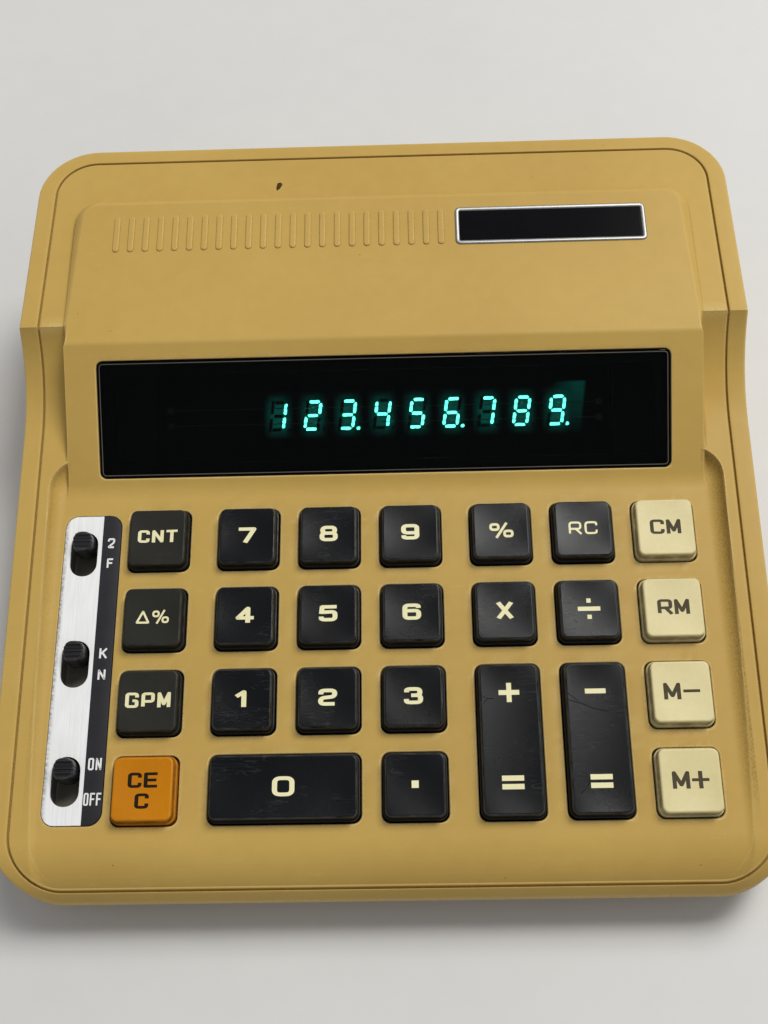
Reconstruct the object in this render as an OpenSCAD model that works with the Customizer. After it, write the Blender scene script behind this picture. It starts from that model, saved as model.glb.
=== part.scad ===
// Desk calculator with a glowing tube display, a block of keys and three slide switches.
// Millimetres, +Z up, +X to the right, +Y to the rear, origin on the table under the case.

/* [Case] */
// Outer width of the case across its rim
body_w = 175; // [170:1:200]
// Outer depth of the case from front to back
body_d = 184.5; // [180:0.5:205]
// Height of the level rear shelf above the table
shelf_z = 47.2; // [45:0.2:56]
// Depth of the rear shelf, from its crease to the back of the case
shelf_d = 55.2; // [50:0.2:60]
// Width of the lower case's rim outside the parting line, at the sides
rim_side = 4.4; // [3.6:0.1:5.5]
// Width of that rim at the front
rim_front = 1.9; // [1.5:0.1:3]
// Width of that rim at the back
rim_back = 4; // [3.6:0.1:5]
// Outer corner radius at the front
corner_front = 16; // [12:0.5:20]
// Outer corner radius at the back
corner_back = 14.5; // [11:0.5:20]
// Radius of the hollow sweep from the shelf down to the keyboard rim
sweep_r = 32; // [26:1:45]
// Thickness of the plastic walls
wall = 2.5; // [2:0.1:3]
// Width of the parting line between the two cases
parting_gap = 0.4; // [0.3:0.1:0.8]
// Depth of the upper case's skirt inside the rim
skirt_h = 8; // [7:0.5:10]
// Thickness of that skirt
skirt_t = 2.2; // [1.6:0.1:3]
// Height of the ledge that carries the skirt
ledge_h = 3; // [2:0.5:5]
// Height over which the lower case draws in towards its floor
taper_h = 8.8; // [7:0.2:9]
// Distance by which the lower case draws in
taper_in = 4; // [2:0.5:5]
// Height of the rubber feet below the floor
foot_h = 3; // [2:0.5:5]
// Radius of a rubber foot
foot_r = 6; // [4:0.5:8]
// Distance from the case side to the middle of a foot
foot_side = 22; // [18:1:24]
// Distance from the front or back of the case to the middle of a foot
foot_end = 24; // [20:1:30]

/* [Keyboard deck] */
// Slope of the keyboard deck in degrees
deck_tilt = 5; // [4:0.5:7]
// Height of the deck at the second row of keys
deck_z = 26; // [25:0.5:29]
// Distance from the front of the case to the flat deck
front_lip = 11.6; // [11:0.1:12.5]
// Radius of the rolled front edge
roll_r = 12.9; // [11:0.1:16]
// Height of the rim over the deck at the front
rim_h_front = 0.4; // [0.2:0.1:1]
// Height of the rim over the deck at the foot of the display
rim_h_back = 3.4; // [2.5:0.1:3.6]
// Distance from the case side to the top of the well's wall
well_margin = 7.4; // [7:0.1:9]
// Radius of the cove along the well's wall
cove_r = 3.7; // [3.5:0.1:4.5]
// Distance from the foot of the display face to the well's rear end beside the hump
well_run = 6.9; // [5:0.1:9]
// Corner radius of the well at the front
well_corner_front = 15; // [10:1:20]
// Corner radius of the well at the back
well_corner_back = 7; // [5:0.5:9]

/* [Display hump] */
// Distance from the case side to the hump's side
hump_margin = 12; // [11:0.5:14]
// Distance from the back of the case to the back of the hump
hump_back = 19; // [16:0.5:24]
// Corner radius of the hump at the back
hump_corner = 5; // [3:0.5:8]
// Height of the hump's back edge over the shelf
hump_rise = 3; // [2.5:0.1:5]
// Rise of the hump's top towards the back in degrees
hump_slope = 3.65; // [2:0.05:4]
// Radius of the hump's front edge
hump_edge_r = 2.5; // [1:0.1:4]
// Distance from the back of the case to the foot of the display face
hump_run = 91; // [89:0.1:93]
// Angle between the display face and the deck in degrees
face_tilt = 26.5; // [24:0.5:30]
// Distance from the foot of the face to the window
window_foot = 3.35; // [2.5:0.05:5]
// Distance from the hump's side to the window
window_margin = 7.1; // [6:0.1:10]
// Height of the window along the face
window_h = 28; // [24:0.5:29]
// Thickness of the window
window_t = 2; // [1.5:0.1:2.5]
// Corner radius of the window
window_corner = 1.5; // [1:0.1:3]
// Width of the ledge that the window is seated on
window_ledge = 1.6; // [1:0.1:2.5]
// Thickness of the face's wall round the window
face_wall = 4; // [3.5:0.1:5]
// Number of grip ribs on the hump's top
rib_count = 23; // [12:1:26]
// Distance from the hump's side to the first rib
rib_edge = 10; // [7:0.5:12]
// Distance from the last rib to the blank plate
rib_gap = 3.5; // [3:0.1:6]
// Width of a rib
rib_w = 1.7; // [1:0.1:2.2]
// Length of a rib
rib_len = 10.5; // [6:0.5:14]
// Height of a rib
rib_h = 0.4; // [0.2:0.1:0.8]
// Length of the blank plate beside the ribs
badge_w = 46.9; // [36:0.1:50]
// Distance from the hump's side to the blank plate
badge_edge = 10.1; // [8:0.1:14]
// Height of the blank plate
badge_h = 10.9; // [8:0.1:14]
// Thickness of the blank plate
badge_t = 1; // [0.8:0.1:1.5]
// Width of the blank plate's bright rim
badge_rim = 1.1; // [0.7:0.1:1.4]
// Distance from the rear edge of the hump's top to the middle of the ribs and the plate
rib_back = 10.6; // [9:0.1:18]

/* [Keys] */
// Space between neighbouring keys, side to side
key_space_x = 4.4; // [4.2:0.1:5.6]
// Space between neighbouring keys, front to back
key_space_y = 4.8; // [4.4:0.1:6]
// Extra space that sets off the outer columns from the digit block
group_gap = 2.1; // [1.8:0.1:2.6]
// Distance from the last column of keys to the well's wall
key_margin = 7.45; // [6.5:0.05:8.5]
// Distance from the rear row of keys to the foot of the display face
key_rear = 5.55; // [4.5:0.05:6.5]
// Distance from the front row of keys to the rolled front edge
key_front = 3.45; // [2.5:0.05:4.5]
// Distance by which a key's sides draw in towards its top
key_lean = 0.8; // [0.4:0.1:1.4]
// Height of a key over the deck
key_h = 3.1; // [3:0.1:5]
// Height of the upright skirt below a key's sloping sides
key_skirt = 0.9; // [0.4:0.1:1.4]
// Corner radius of a key
key_corner = 1.2; // [0.6:0.1:2]
// Depth of the dish in a key's top
key_dish = 0.35; // [0.2:0.05:0.6]
// Width of the level edge round that dish
dish_rim = 1; // [0.6:0.1:1.6]
// Travel of a key
key_travel = 2.6; // [2:0.1:2.8]
// Clearance round a key in its hole
key_gap = 0.3; // [0.2:0.05:0.5]
// Width of the flange that keeps a key in its hole
flange_w = 0.9; // [0.6:0.05:1]
// Thickness of that flange
flange_t = 1.1; // [0.8:0.1:1.6]
// Radius of a key's stem
stem_r = 2.5; // [2:0.1:2.8]
// Radial clearance of a stem in its guide
stem_gap = 0.08; // [0.04:0.01:0.1]
// Height of a fully pressed return spring
spring_solid = 0.7; // [0.5:0.1:1.5]
// Wall of a return spring's sleeve
spring_t = 0.8; // [0.5:0.1:1.2]
// Thickness of the guide plate
guide_t = 1.6; // [1.2:0.1:2]
// Thickness of a contact dome
contact_t = 0.5; // [0.3:0.1:0.8]
// Thickness of a circuit board
board_t = 1.6; // [1.2:0.1:2]

/* [Slide switches] */
// Width of the switch panel
panel_w = 13.3; // [12.5:0.1:13.6]
// Distance from the switch panel to the first column of keys
panel_gap = 1.95; // [1.5:0.05:2.5]
// Distance by which the panel stops short of the key block at each end
panel_short = 0.35; // [0:0.05:1]
// Distance by which the panel sits ahead of the middle of the key block
panel_shift = 0.3; // [0:0.1:0.6]
// Corner radius of the switch panel
panel_corner = 3; // [2:0.5:4]
// Thickness of the switch panel
panel_t = 0.6; // [0.4:0.1:1]
// Depth of the panel's recess in the deck
panel_seat = 0.5; // [0.3:0.1:0.8]
// Distance from the panel's left edge to its slots
slot_x = 5.2; // [4.8:0.1:6]
// Distance from an end of the panel to the middle of its nearest slot
slot_end = 9.6; // [9:0.1:10.5]
// Width of a slot
slot_w = 6.2; // [5.8:0.1:7]
// Length of a slot
slot_len = 11; // [10.6:0.1:12]
// Corner radius of a slot
slot_corner = 2; // [0.8:0.1:2.2]
// Width of a switch knob
knob_w = 5; // [4:0.1:5.2]
// Length of a switch knob
knob_len = 5.2; // [4:0.1:5.4]
// Height of a switch knob over the deck
knob_h = 2.6; // [1.5:0.1:4]
// Travel of a switch knob
knob_travel = 4.8; // [3:0.1:5]
// Lap of a switch slider under the deck beside its knob
slider_lap = 1.5; // [1.2:0.1:1.8]

/* [Display tube] */
// Number of places in the display
places = 11; // [9:1:12]
// Distance between the places
place_pitch = 8.7; // [7.5:0.1:8.9]
// Distance by which the places sit left of the middle
place_shift = 0.5; // [0:0.1:1]
// Height of a digit
digit_h = 7.6; // [6:0.1:9]
// Width of a digit
digit_w = 4.1; // [3.5:0.1:4.5]
// Width of a segment
segment_w = 0.8; // [0.5:0.05:1]
// Lean of the digits in degrees
digit_lean = 8; // [0:1:12]
// Length of the tube
tube_len = 112; // [108:1:116]
// Height of the tube
tube_h = 23; // [20:0.5:24]
// Depth of the tube's glass
tube_t = 5.5; // [5:0.1:6.5]
// Thickness of the tube's glass wall
glass_t = 1.1; // [0.8:0.1:1.5]
// Thickness of the tube's base plate
base_t = 1.5; // [1:0.1:2]
// Distance from the window's face to the tube's glass
tube_depth = 9.6; // [8:0.1:11]

/* [Power supply] */
// Width of the transformer's core
core_w = 42; // [36:1:44]
// Height of the transformer's core
core_h = 34; // [28:1:36]
// Depth of the transformer's core
core_d = 18; // [14:1:20]
// Distance from the case side to the middle of the transformer
core_side = 34; // [32:1:37]
// Distance from the back of the case to the middle of the transformer and power board
supply_back = 32; // [31:0.5:34]
// Width of the power board
power_w = 82; // [70:1:84]
// Depth of the power board
power_d = 30; // [28:1:32]
// Height of the power board over the floor
power_lift = 4; // [3:0.5:6]
// Distance from the case side to the cord gland
gland_side = 42; // [34:1:60]
// Height of the cord gland over the table
gland_z = 22; // [18:0.5:25]
// Radius of the gland's bore for a mains lead
gland_bore = 3.1; // [2.5:0.1:3.5]
// Distance from the case side to the case screws
screw_side = 25; // [23:0.5:27]
// Distance from the case front to the front case screws
screw_front = 9; // [8.8:0.1:9.4]
// Distance from the case back to the rear case screws
screw_back = 11.5; // [11:0.1:13]
// Radius of a case screw's thread
screw_r = 1.5; // [1.25:0.05:1.75]
// Length of a case screw below its head
screw_len = 10; // [8:0.5:10.5]

/* [Hidden] */
$fn = 64;
// Reach of cutting shapes beyond the case
far = 120;
// Small play between seated pieces
play = 0.15;
// Overlap that joins two shapes of one piece
weld = 0.6;
// Reach of a cut beyond the face that it starts from
cut = 1;

// Places on the table plan
front_y = -body_d / 2;
back_y = body_d / 2;
floor_top = foot_h + wall;

// Plan of the well and of the keys in it
well_w = body_w - 2 * well_margin;
panel_x = -well_w / 2 + cove_r + 2 * play + panel_w / 2;
field_left = panel_x + panel_w / 2 + panel_gap;
field_w = well_w / 2 - key_margin - field_left;
COLUMNS = [0 : 6];
ROWS = [0 : 3];
column_count = 7;
row_count = 4;
pitch_x = (field_w - 2 * group_gap + key_space_x) / column_count;
key_side_x = pitch_x - key_space_x;
deck_len = (body_d - hump_run - front_lip) / cos(deck_tilt);
field_d = deck_len - key_front - key_rear;
pitch_y = (field_d + key_space_y) / row_count;
key_side_y = pitch_y - key_space_y;
function column_x(i) =
  field_left + key_side_x / 2 + i * pitch_x + (i > 0 ? group_gap : 0) + (i > 3 ? group_gap : 0);
// Rows are measured from the second row of keys
function row_y(j) = (1 - j) * pitch_y;
face_foot = row_y(0) + key_side_y / 2 + key_rear;
front_flat = deck_len - face_foot;

// Deck place and its own axes, as points in the side view
deck_y = back_y - hump_run - face_foot * cos(deck_tilt);
function deck_point(y, z) = [
  deck_y + y * cos(deck_tilt) - z * sin(deck_tilt),
  deck_z + y * sin(deck_tilt) + z * cos(deck_tilt)
];

// Side view of the rim: rolled front, straight run, hollow sweep, crease and level shelf
roll_centre = deck_point(-front_flat, -roll_r);
rim_front_point = deck_point(-front_flat, rim_h_front);
rim_back_point = deck_point(face_foot + well_run, rim_h_back);
rim_run = rim_back_point - rim_front_point;
rim_along = rim_run / norm(rim_run);
rim_normal = [-rim_along.y, rim_along.x];
crease = [back_y - shelf_d, shelf_z];
crease_u = (crease - rim_front_point) * rim_along;
crease_v = (crease - rim_front_point) * rim_normal;
sweep_u = crease_u - sqrt(2 * sweep_r * crease_v - crease_v * crease_v);
sweep_start = rim_front_point + rim_along * sweep_u;
sweep_centre = sweep_start + rim_normal * sweep_r;

// Side view of the hump: display face, rounded front edge and sloping top
face_angle = deck_tilt + face_tilt;
face_along = [cos(face_angle), sin(face_angle)];
face_normal = [-sin(face_angle), cos(face_angle)];
top_along = [cos(hump_slope), sin(hump_slope)];
face_start = deck_point(face_foot, 0);
hump_back_top = [back_y - hump_back, shelf_z + hump_rise];
function cross2(a, b) = a.x * b.y - a.y * b.x;
function meet(p, u, q, v) = p + u * (cross2(q - p, v) / cross2(u, v));
hump_edge = meet(face_start, face_along, hump_back_top, top_along);
edge_run = hump_edge_r * tan((face_angle - hump_slope) / 2);
edge_face = hump_edge - face_along * edge_run;
edge_top = hump_edge + top_along * edge_run;
edge_centre = edge_face - face_normal * hump_edge_r;
inner_face = face_start - face_normal * face_wall;
inner_back_top = hump_back_top - [0, wall];
inner_edge = meet(inner_face, face_along, inner_back_top, top_along);
face_middle = face_start + face_along * (window_foot + window_h / 2);
hump_w = body_w - 2 * hump_margin;
window_w = hump_w - 2 * window_margin;
rib_pitch = (hump_w - rib_edge - rib_gap - badge_w - badge_edge) / (rib_count - 1);
top_middle = hump_back_top - top_along * rib_back;
badge_recess = 0.4;
badge_inlay_t = 0.3;
badge_corner = 1.3;

// Ends of the well
well_front = -front_flat - roll_r - cove_r;
well_back = face_foot + well_run;

// Heights of the key stack, measured from the deck's surface
flange_top = -wall - key_gap;
flange_under = flange_top - flange_t;
guide_top = flange_under - key_travel - spring_solid;
guide_under = guide_top - guide_t;
stem_end = guide_under - key_gap;
contact_top = stem_end - key_travel - key_gap;
board_top = contact_top - contact_t;
board_under = board_top - board_t;

// Key places: name, column, row, columns spanned, rows spanned, colour
KEYS = [
  ["key_cnt", 0, 0, 1, 1, "dimgray"],
  ["key_7", 1, 0, 1, 1, "black"],
  ["key_8", 2, 0, 1, 1, "black"],
  ["key_9", 3, 0, 1, 1, "black"],
  ["key_percent", 4, 0, 1, 1, "black"],
  ["key_rc", 5, 0, 1, 1, "black"],
  ["key_cm", 6, 0, 1, 1, "khaki"],
  ["key_delta_percent", 0, 1, 1, 1, "dimgray"],
  ["key_4", 1, 1, 1, 1, "black"],
  ["key_5", 2, 1, 1, 1, "black"],
  ["key_6", 3, 1, 1, 1, "black"],
  ["key_times", 4, 1, 1, 1, "black"],
  ["key_divide", 5, 1, 1, 1, "black"],
  ["key_rm", 6, 1, 1, 1, "khaki"],
  ["key_gpm", 0, 2, 1, 1, "dimgray"],
  ["key_1", 1, 2, 1, 1, "black"],
  ["key_2", 2, 2, 1, 1, "black"],
  ["key_3", 3, 2, 1, 1, "black"],
  ["key_plus_equals", 4, 2, 1, 2, "black"],
  ["key_minus_equals", 5, 2, 1, 2, "black"],
  ["key_m_minus", 6, 2, 1, 1, "khaki"],
  ["key_ce_c", 0, 3, 1, 1, "orange"],
  ["key_0", 1, 3, 2, 1, "black"],
  ["key_point", 3, 3, 1, 1, "black"],
  ["key_m_plus", 6, 3, 1, 1, "khaki"]
];
// Gaps between key groups, where the screw posts stand
POST_X = [(column_x(0) + column_x(1)) / 2, (column_x(3) + column_x(4)) / 2];
POST_Y = [for (j = [0 : 2]) (row_y(j) + row_y(j + 1)) / 2];
post_r = 2.2;
spacer_t = 0.6;
contact_r = 3;
board_screw_r = 1;
board_head_r = 1.9;
board_head_t = 1.2;
key_block_left = column_x(0) - pitch_x / 2;
key_block_right = column_x(6) + pitch_x / 2;
key_block_front = row_y(3) - pitch_y / 2;
key_block_back = row_y(0) + pitch_y / 2;
dish_half = min(key_side_x, key_side_y) / 2 - key_lean - dish_rim;
dish_r = (dish_half * dish_half + key_dish * key_dish) / (2 * key_dish);
// Chips under the keyboard: body thickness, air under it, leg size and leg pitch
chip_t = 3;
chip_gap = 0.8;
chip_leg = 0.6;
chip_leg_pitch = 2.54;
chip_corner = 0.4;
calculator_chip_w = 36;
calculator_chip_d = 13;
driver_chip_w = 19;
driver_chip_d = 7;

// Switch places
SWITCHES = [["switch_knob_rear", 1], ["switch_knob_middle", 0], ["switch_knob_front", -1]];
panel_len = field_d - 2 * panel_short;
panel_y = (row_y(0) + row_y(3)) / 2 - panel_shift;
slots_x = panel_x - panel_w / 2 + slot_x;
slot_pitch = panel_len / 2 - slot_end;
slider_w = knob_w + 2 * slider_lap;
slider_len = knob_len + 2 * slider_lap;
knob_corner = 0.8;
slider_t = 1.6;
slider_top = -wall - key_gap;
housing_wall = 1.2;
housing_h = 6;
// A knob rests at the rear end of its slot
knob_rest = knob_travel / 2;

// Display stack, measured inwards from the window's face
hood_front = -face_wall;
tube_front = -tube_depth;
base_front = tube_front - tube_t;
base_back = base_front - base_t;
pin_len = 2;
pin_w = 0.6;
pin_edge = 1.2;
hood_back = base_back - pin_len;
display_board_back = hood_back - board_t;
hood_wall = 2;
hood_lap = 0.6;
hood_trim = 0.2;
hood_step = 0.5;
hood_w = window_w + 2 * hood_lap;
hood_h = window_h - 2 * hood_trim;
display_board_in = 3;
tube_corner = 1.5;
tube_inner_corner = 0.8;
filament_r = 0.12;
filament_lift = 2;
filament_end = 1.5;
filament_post_w = 1.2;
filament_post_d = 1.6;
anode_t = 0.2;
anode_front = base_front + anode_t;
SHOWN = [-1, -1, 1, 2, 3, 4, 5, 6, 7, 8, 9];
DOTTED = [3, 6, 9];
GLYPHS = ["abcdef", "bc", "abged", "abgcd", "fgbc", "afgcd", "afgecd", "abc", "abcdefg", "abcdfg"];
SEGMENTS = ["a", "b", "c", "d", "e", "f", "g", "p"];

// Power supply places
supply_y = back_y - supply_back;
core_x = -body_w / 2 + core_side;
leg_w = 12;
core_window_w = 7;
core_window_h = core_h - leg_w;
coil_out = 6;
coil_corner = 3;
supply_gap = 6;
power_x = core_x + core_w / 2 + supply_gap + power_w / 2;
power_z = floor_top + power_lift;
power_top = power_z + board_t;
power_screw_in = 4;
power_post_r = 3;
POWER_SCREWS = [
  for (sx = [-1, 1], sy = [-1, 1])
    [power_x + sx * (power_w / 2 - power_screw_in), supply_y + sy * (power_d / 2 - power_screw_in)]
];
// Three capacitors in a row, each smaller than the one before
capacitor_r = 7;
capacitor_h = 24;
capacitor_pitch = 16.5;
capacitor_less_r = 1;
capacitor_less_h = 4;
diode_r = 1.4;
diode_len = 5.2;
diode_pitch = 3.6;
diode_edge = 10;
fuse_r = 2.5;
fuse_len = 16;
fuse_edge = 12;
fuse_z = 4.6;
clip_r = 3;
clip_len = 4.4;
clip_leg_w = 3;
clip_leg_d = 4;
clip_leg_h = 3;
cable_w = 40;
cable_t = 0.9;
cable_sag = 2.5;
gland_x = body_w / 2 - gland_side;
gland_r = 5;
gland_flange_r = 7;
gland_flange_t = 1;
gland_nut_t = 2;
gland_tail = 4;
gland_len = wall + gland_nut_t + gland_tail;

// Case screw places
SCREWS = [
  for (sx = [-1, 1], y = [front_y + screw_front, back_y - screw_back])
    [sx * (body_w / 2 - screw_side), y]
];
screw_head_r = 2.8;
screw_head_t = 1.8;
screw_rise = 0.5;
screw_seat = floor_top + screw_rise;
boss_r = 4.6;
boss_h = 3.5;
boss_top = screw_seat + boss_h;
screw_post_r = 3.3;
FEET = [for (sx = [-1, 1], sy = [-1, 1]) [sx * (body_w / 2 - foot_side), sy * (body_d / 2 - foot_end)]];
foot_stub_r = 2.2;

// Shapes and frames that several pieces use

module on_deck() {
  translate([0, deck_y, deck_z]) rotate([deck_tilt, 0, 0]) children();
}

module on_face() {
  translate([0, face_middle.x, face_middle.y]) rotate([face_angle, 0, 0]) children();
}

// A side-view outline carried across the width w
module across(w) {
  rotate([90, 0, 90]) linear_extrude(w, center = true) children();
}

// A front-view outline carried along the whole depth
module along_depth() {
  rotate([90, 0, 0]) linear_extrude(2 * far, center = true) children();
}

// A slab of outline from height z0 to height z1
module slab(z0, z1) {
  translate([0, 0, z0]) linear_extrude(z1 - z0) children();
}

// Rounded rectangle from corner [x0, y0] to [x1, y1], front radius rf, rear radius rr
module round_box(x0, y0, x1, y1, rf, rr) {
  translate([x0, y0 + rf]) square([x1 - x0, y1 - y0 - rf - rr]);
  translate([x0 + rf, y0]) square([x1 - x0 - 2 * rf, rf + rr]);
  translate([x0 + rr, y1 - rf - rr]) square([x1 - x0 - 2 * rr, rf + rr]);
  for (x = [x0 + rf, x1 - rf]) translate([x, y0 + rf]) circle(rf);
  for (x = [x0 + rr, x1 - rr]) translate([x, y1 - rr]) circle(rr);
}

// Rounded rectangle of width w and depth d about the origin
module round_rect(w, d, r) {
  round_box(-w / 2, -d / 2, w / 2, d / 2, r, r);
}

// Bar with round ends, width w and length l along Y
module stadium(w, l) {
  square([w, l - w], center = true);
  for (s = [-1, 1]) translate([0, s * (l - w) / 2]) circle(w / 2);
}

// Plan of the case, drawn in from its outer edge at the sides, front and back
module case_plan(side, front, back) {
  round_box(
    -body_w / 2 + side, front_y + front, body_w / 2 - side, back_y - back,
    corner_front - side, corner_back - side
  );
}

// Side view of everything below the rim, lowered by drop
module rim_profile(drop) {
  roll = roll_r + rim_h_front;
  translate([0, -drop]) difference() {
    union() {
      polygon([
        [back_y + far, -far], [back_y + far, shelf_z], crease, sweep_start,
        rim_front_point, roll_centre, [roll_centre.x, -far]
      ]);
      translate(roll_centre) circle(roll, $fn = 96);
      translate([roll_centre.x - roll, -far]) square([roll, far + roll_centre.y]);
    }
    translate(sweep_centre) circle(sweep_r, $fn = 160);
  }
}

// The lower body, set in by inset: upright above a knee, drawn in below it, round at the corners
module tapered_body(inset) {
  w = body_w / 2 - inset;
  d = body_d / 2 - inset;
  knee = foot_h + taper_h;
  rf = corner_front - inset;
  rr = corner_back - inset;
  side_view = [
    [-d + taper_in, foot_h], [d - taper_in, foot_h], [d, knee], [d, far], [-d, far], [-d, knee]
  ];
  front_view = [
    [-w + taper_in, foot_h], [w - taper_in, foot_h], [w, knee], [w, far], [-w, far], [-w, knee]
  ];
  intersection() {
    along_depth() polygon(front_view);
    translate([-far, -d + rf, 0]) cube([2 * far, 2 * d - rf - rr, far]);
  }
  intersection() {
    across(2 * far) polygon(side_view);
    slab(0, far) {
      translate([-w + rf, -far]) square([2 * (w - rf), far]);
      translate([-w + rr, 0]) square([2 * (w - rr), far]);
    }
  }
  for (s = [-1, 1], c = [[-d + rf, rf], [d - rr, rr]]) translate([s * (w - c[1]), c[0], foot_h]) {
    cylinder(taper_h, r1 = c[1] - taper_in, r2 = c[1]);
    translate([0, 0, taper_h]) cylinder(far - knee, r = c[1]);
  }
}

// Section of the cove between a floor and a wall that stands at distance x
module cove_section(x) {
  difference() {
    translate([x - cove_r, 0]) square(cove_r);
    translate([x - cove_r, cove_r]) circle(cove_r);
  }
}

// The well above the keyboard deck, with a cove along its wall
module well() {
  x = well_w / 2;
  corner_x = x - well_corner_back;
  corner_y = well_back - well_corner_back;
  difference() {
    slab(0, far) round_box(-x, well_front, x, well_back, well_corner_front, well_corner_back);
    for (s = [0, 1]) mirror([s, 0, 0]) {
      translate([0, corner_y, 0]) rotate([90, 0, 0]) linear_extrude(corner_y - well_front) cove_section(x);
      intersection() {
        translate([corner_x, corner_y, 0]) rotate_extrude() cove_section(well_corner_back);
        translate([corner_x, corner_y, 0]) cube(well_corner_back + cut);
      }
    }
    across(2 * corner_x) cove_section(well_back);
  }
}

// The space over the rolled front edge
module front_roll() {
  intersection() {
    across(2 * far) difference() {
      translate([-front_flat - roll_r, -roll_r]) square([roll_r, roll_r]);
      translate([-front_flat, -roll_r]) circle(roll_r, $fn = 96);
    }
    slab(-far, far) round_box(
      -well_w / 2 + cove_r, well_front, well_w / 2 - cove_r, well_back,
      well_corner_front - cove_r, well_corner_back - cove_r
    );
  }
}

// Plan of the hump, drawn in by inset
module hump_plan(inset) {
  round_box(
    -hump_w / 2 + inset, face_start.x - cove_r, hump_w / 2 - inset, back_y - hump_back - inset,
    cut, hump_corner - inset
  );
}

module hump() {
  intersection() {
    slab(deck_z - skirt_h / 2, far) hump_plan(0);
    across(2 * far) union() {
      polygon([
        face_start - face_along * far, edge_face, edge_centre, edge_top,
        hump_back_top + top_along * far, [back_y + far, -far], [face_start.x, -far]
      ]);
      translate(edge_centre) circle(hump_edge_r);
    }
  }
}

// The hollow under deck, shelf and hump
module upper_hollow() {
  inset = parting_gap + skirt_t;
  step = deck_point(well_back + wall, 0).x;
  intersection() {
    slab(-far, far) case_plan(rim_side + inset, rim_front + inset, rim_back + inset);
    across(2 * far) intersection() {
      rim_profile(wall);
      polygon([
        deck_point(-far, -wall), [step, deck_point(well_back + wall, -wall).y], [step, far],
        [far, far], [far, -far], [-far, -far]
      ]);
    }
  }
  intersection() {
    slab(-far, far) hump_plan(wall);
    across(2 * far) polygon([
      inner_face - face_along * far, inner_edge, inner_back_top + top_along * far, [far, -far]
    ]);
  }
}

// One shape at each key's cell, and across cells on the wide and tall keys
function key_middle(k) = [
  (column_x(k[1]) + column_x(k[1] + k[3] - 1)) / 2,
  (row_y(k[2]) + row_y(k[2] + k[4] - 1)) / 2
];
function key_w(k) = key_side_x + column_x(k[1] + k[3] - 1) - column_x(k[1]);
function key_d(k) = key_side_y + row_y(k[2]) - row_y(k[2] + k[4] - 1);

module at_cells() {
  for (i = COLUMNS, j = ROWS) translate([column_x(i), row_y(j), 0]) children();
}

module at_posts() {
  for (x = POST_X, y = POST_Y) translate([x, y, 0]) children();
}

module at_slots() {
  for (s = SWITCHES) translate([slots_x, panel_y + s[1] * slot_pitch, 0]) children();
}

// Outline of one segment or point of a digit, leaning to the right
function lean(p) = [p.x + p.y * tan(digit_lean), p.y];
function bar(x0, y0, x1, y1) = [lean([x0, y0]), lean([x1, y0]), lean([x1, y1]), lean([x0, y1])];
function segment_shape(name) =
  let (
    x = digit_w / 2, y = digit_h / 2, t = segment_w, g = segment_w / 4,
    h = [-x + t + g, x - t - g]
  )
  name == "a" ? bar(h[0], y - t, h[1], y) :
  name == "g" ? bar(h[0], -t / 2, h[1], t / 2) :
  name == "d" ? bar(h[0], -y, h[1], -y + t) :
  name == "b" ? bar(x - t, t / 2 + g, x, y) :
  name == "c" ? bar(x - t, -y, x, -t / 2 - g) :
  name == "f" ? bar(-x, t / 2 + g, -x + t, y) :
  name == "e" ? bar(-x, -y, -x + t, -t / 2 - g) :
  bar(x + t, -y, x + 2 * t, -y + t);
function place_x(i) = (i - (places - 1) / 2) * place_pitch - place_shift;
function is_lit(i, name) =
  i < len(SHOWN) && SHOWN[i] >= 0
  && len(search(name, name == "p" ? (len(search(SHOWN[i], DOTTED)) > 0 ? "p" : "") : GLYPHS[SHOWN[i]])) > 0;

module digit_segments(lit) {
  for (i = [0 : places - 1], name = SEGMENTS)
    if (is_lit(i, name) == lit)
      translate([place_x(i), 0, base_front]) linear_extrude(anode_t) polygon(segment_shape(name));
}

// Casing

module bottom_case() {
  inner = parting_gap + skirt_t;
  color("goldenrod") difference() {
    union() {
      difference() {
        intersection() {
          tapered_body(0);
          across(2 * far) rim_profile(0);
        }
        difference() {
          slab(0, far) case_plan(rim_side, rim_front, rim_back);
          across(2 * far) rim_profile(skirt_h);
        }
        slab(floor_top, far) case_plan(rim_side + inner, rim_front + inner, rim_back + inner);
        intersection() {
          tapered_body(wall);
          across(2 * far) rim_profile(skirt_h + ledge_h);
          slab(floor_top, far) square(2 * far, center = true);
        }
      }
      for (p = SCREWS) translate([p.x, p.y]) slab(floor_top - weld, boss_top) circle(boss_r);
      for (p = POWER_SCREWS) translate([p.x, p.y]) slab(floor_top - weld, power_z) circle(power_post_r);
    }
    for (p = SCREWS) translate([p.x, p.y, 0]) {
      cylinder(far, r = screw_r + play);
      cylinder(screw_seat, r = screw_head_r + play);
    }
    for (p = POWER_SCREWS) translate([p.x, p.y, floor_top]) cylinder(far, r = board_screw_r + play);
    for (p = FEET) translate([p.x, p.y, 0]) cylinder(floor_top + cut, r = foot_stub_r + play);
    translate([gland_x, back_y, gland_z]) rotate([90, 0, 0]) {
      translate([0, 0, -cut]) cylinder(cut + gland_flange_t, r = gland_flange_r + play);
      translate([0, 0, -cut]) cylinder(wall + 3 * cut, r = gland_r + play);
    }
  }
}

module grip_ribs() {
  first = -hump_w / 2 + rib_edge;
  translate([0, top_middle.x, top_middle.y]) rotate([hump_slope, 0, 0])
    for (i = [0 : rib_count - 1]) translate([first + i * rib_pitch, 0, -weld])
      linear_extrude(weld + rib_h) stadium(rib_w, rib_len);
}

// Frame of the blank plate: level with the hump's top, right of the ribs
module on_badge() {
  x = hump_w / 2 - badge_edge - badge_w / 2;
  translate([x, top_middle.x, top_middle.y]) rotate([hump_slope, 0, 0]) children();
}

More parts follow.
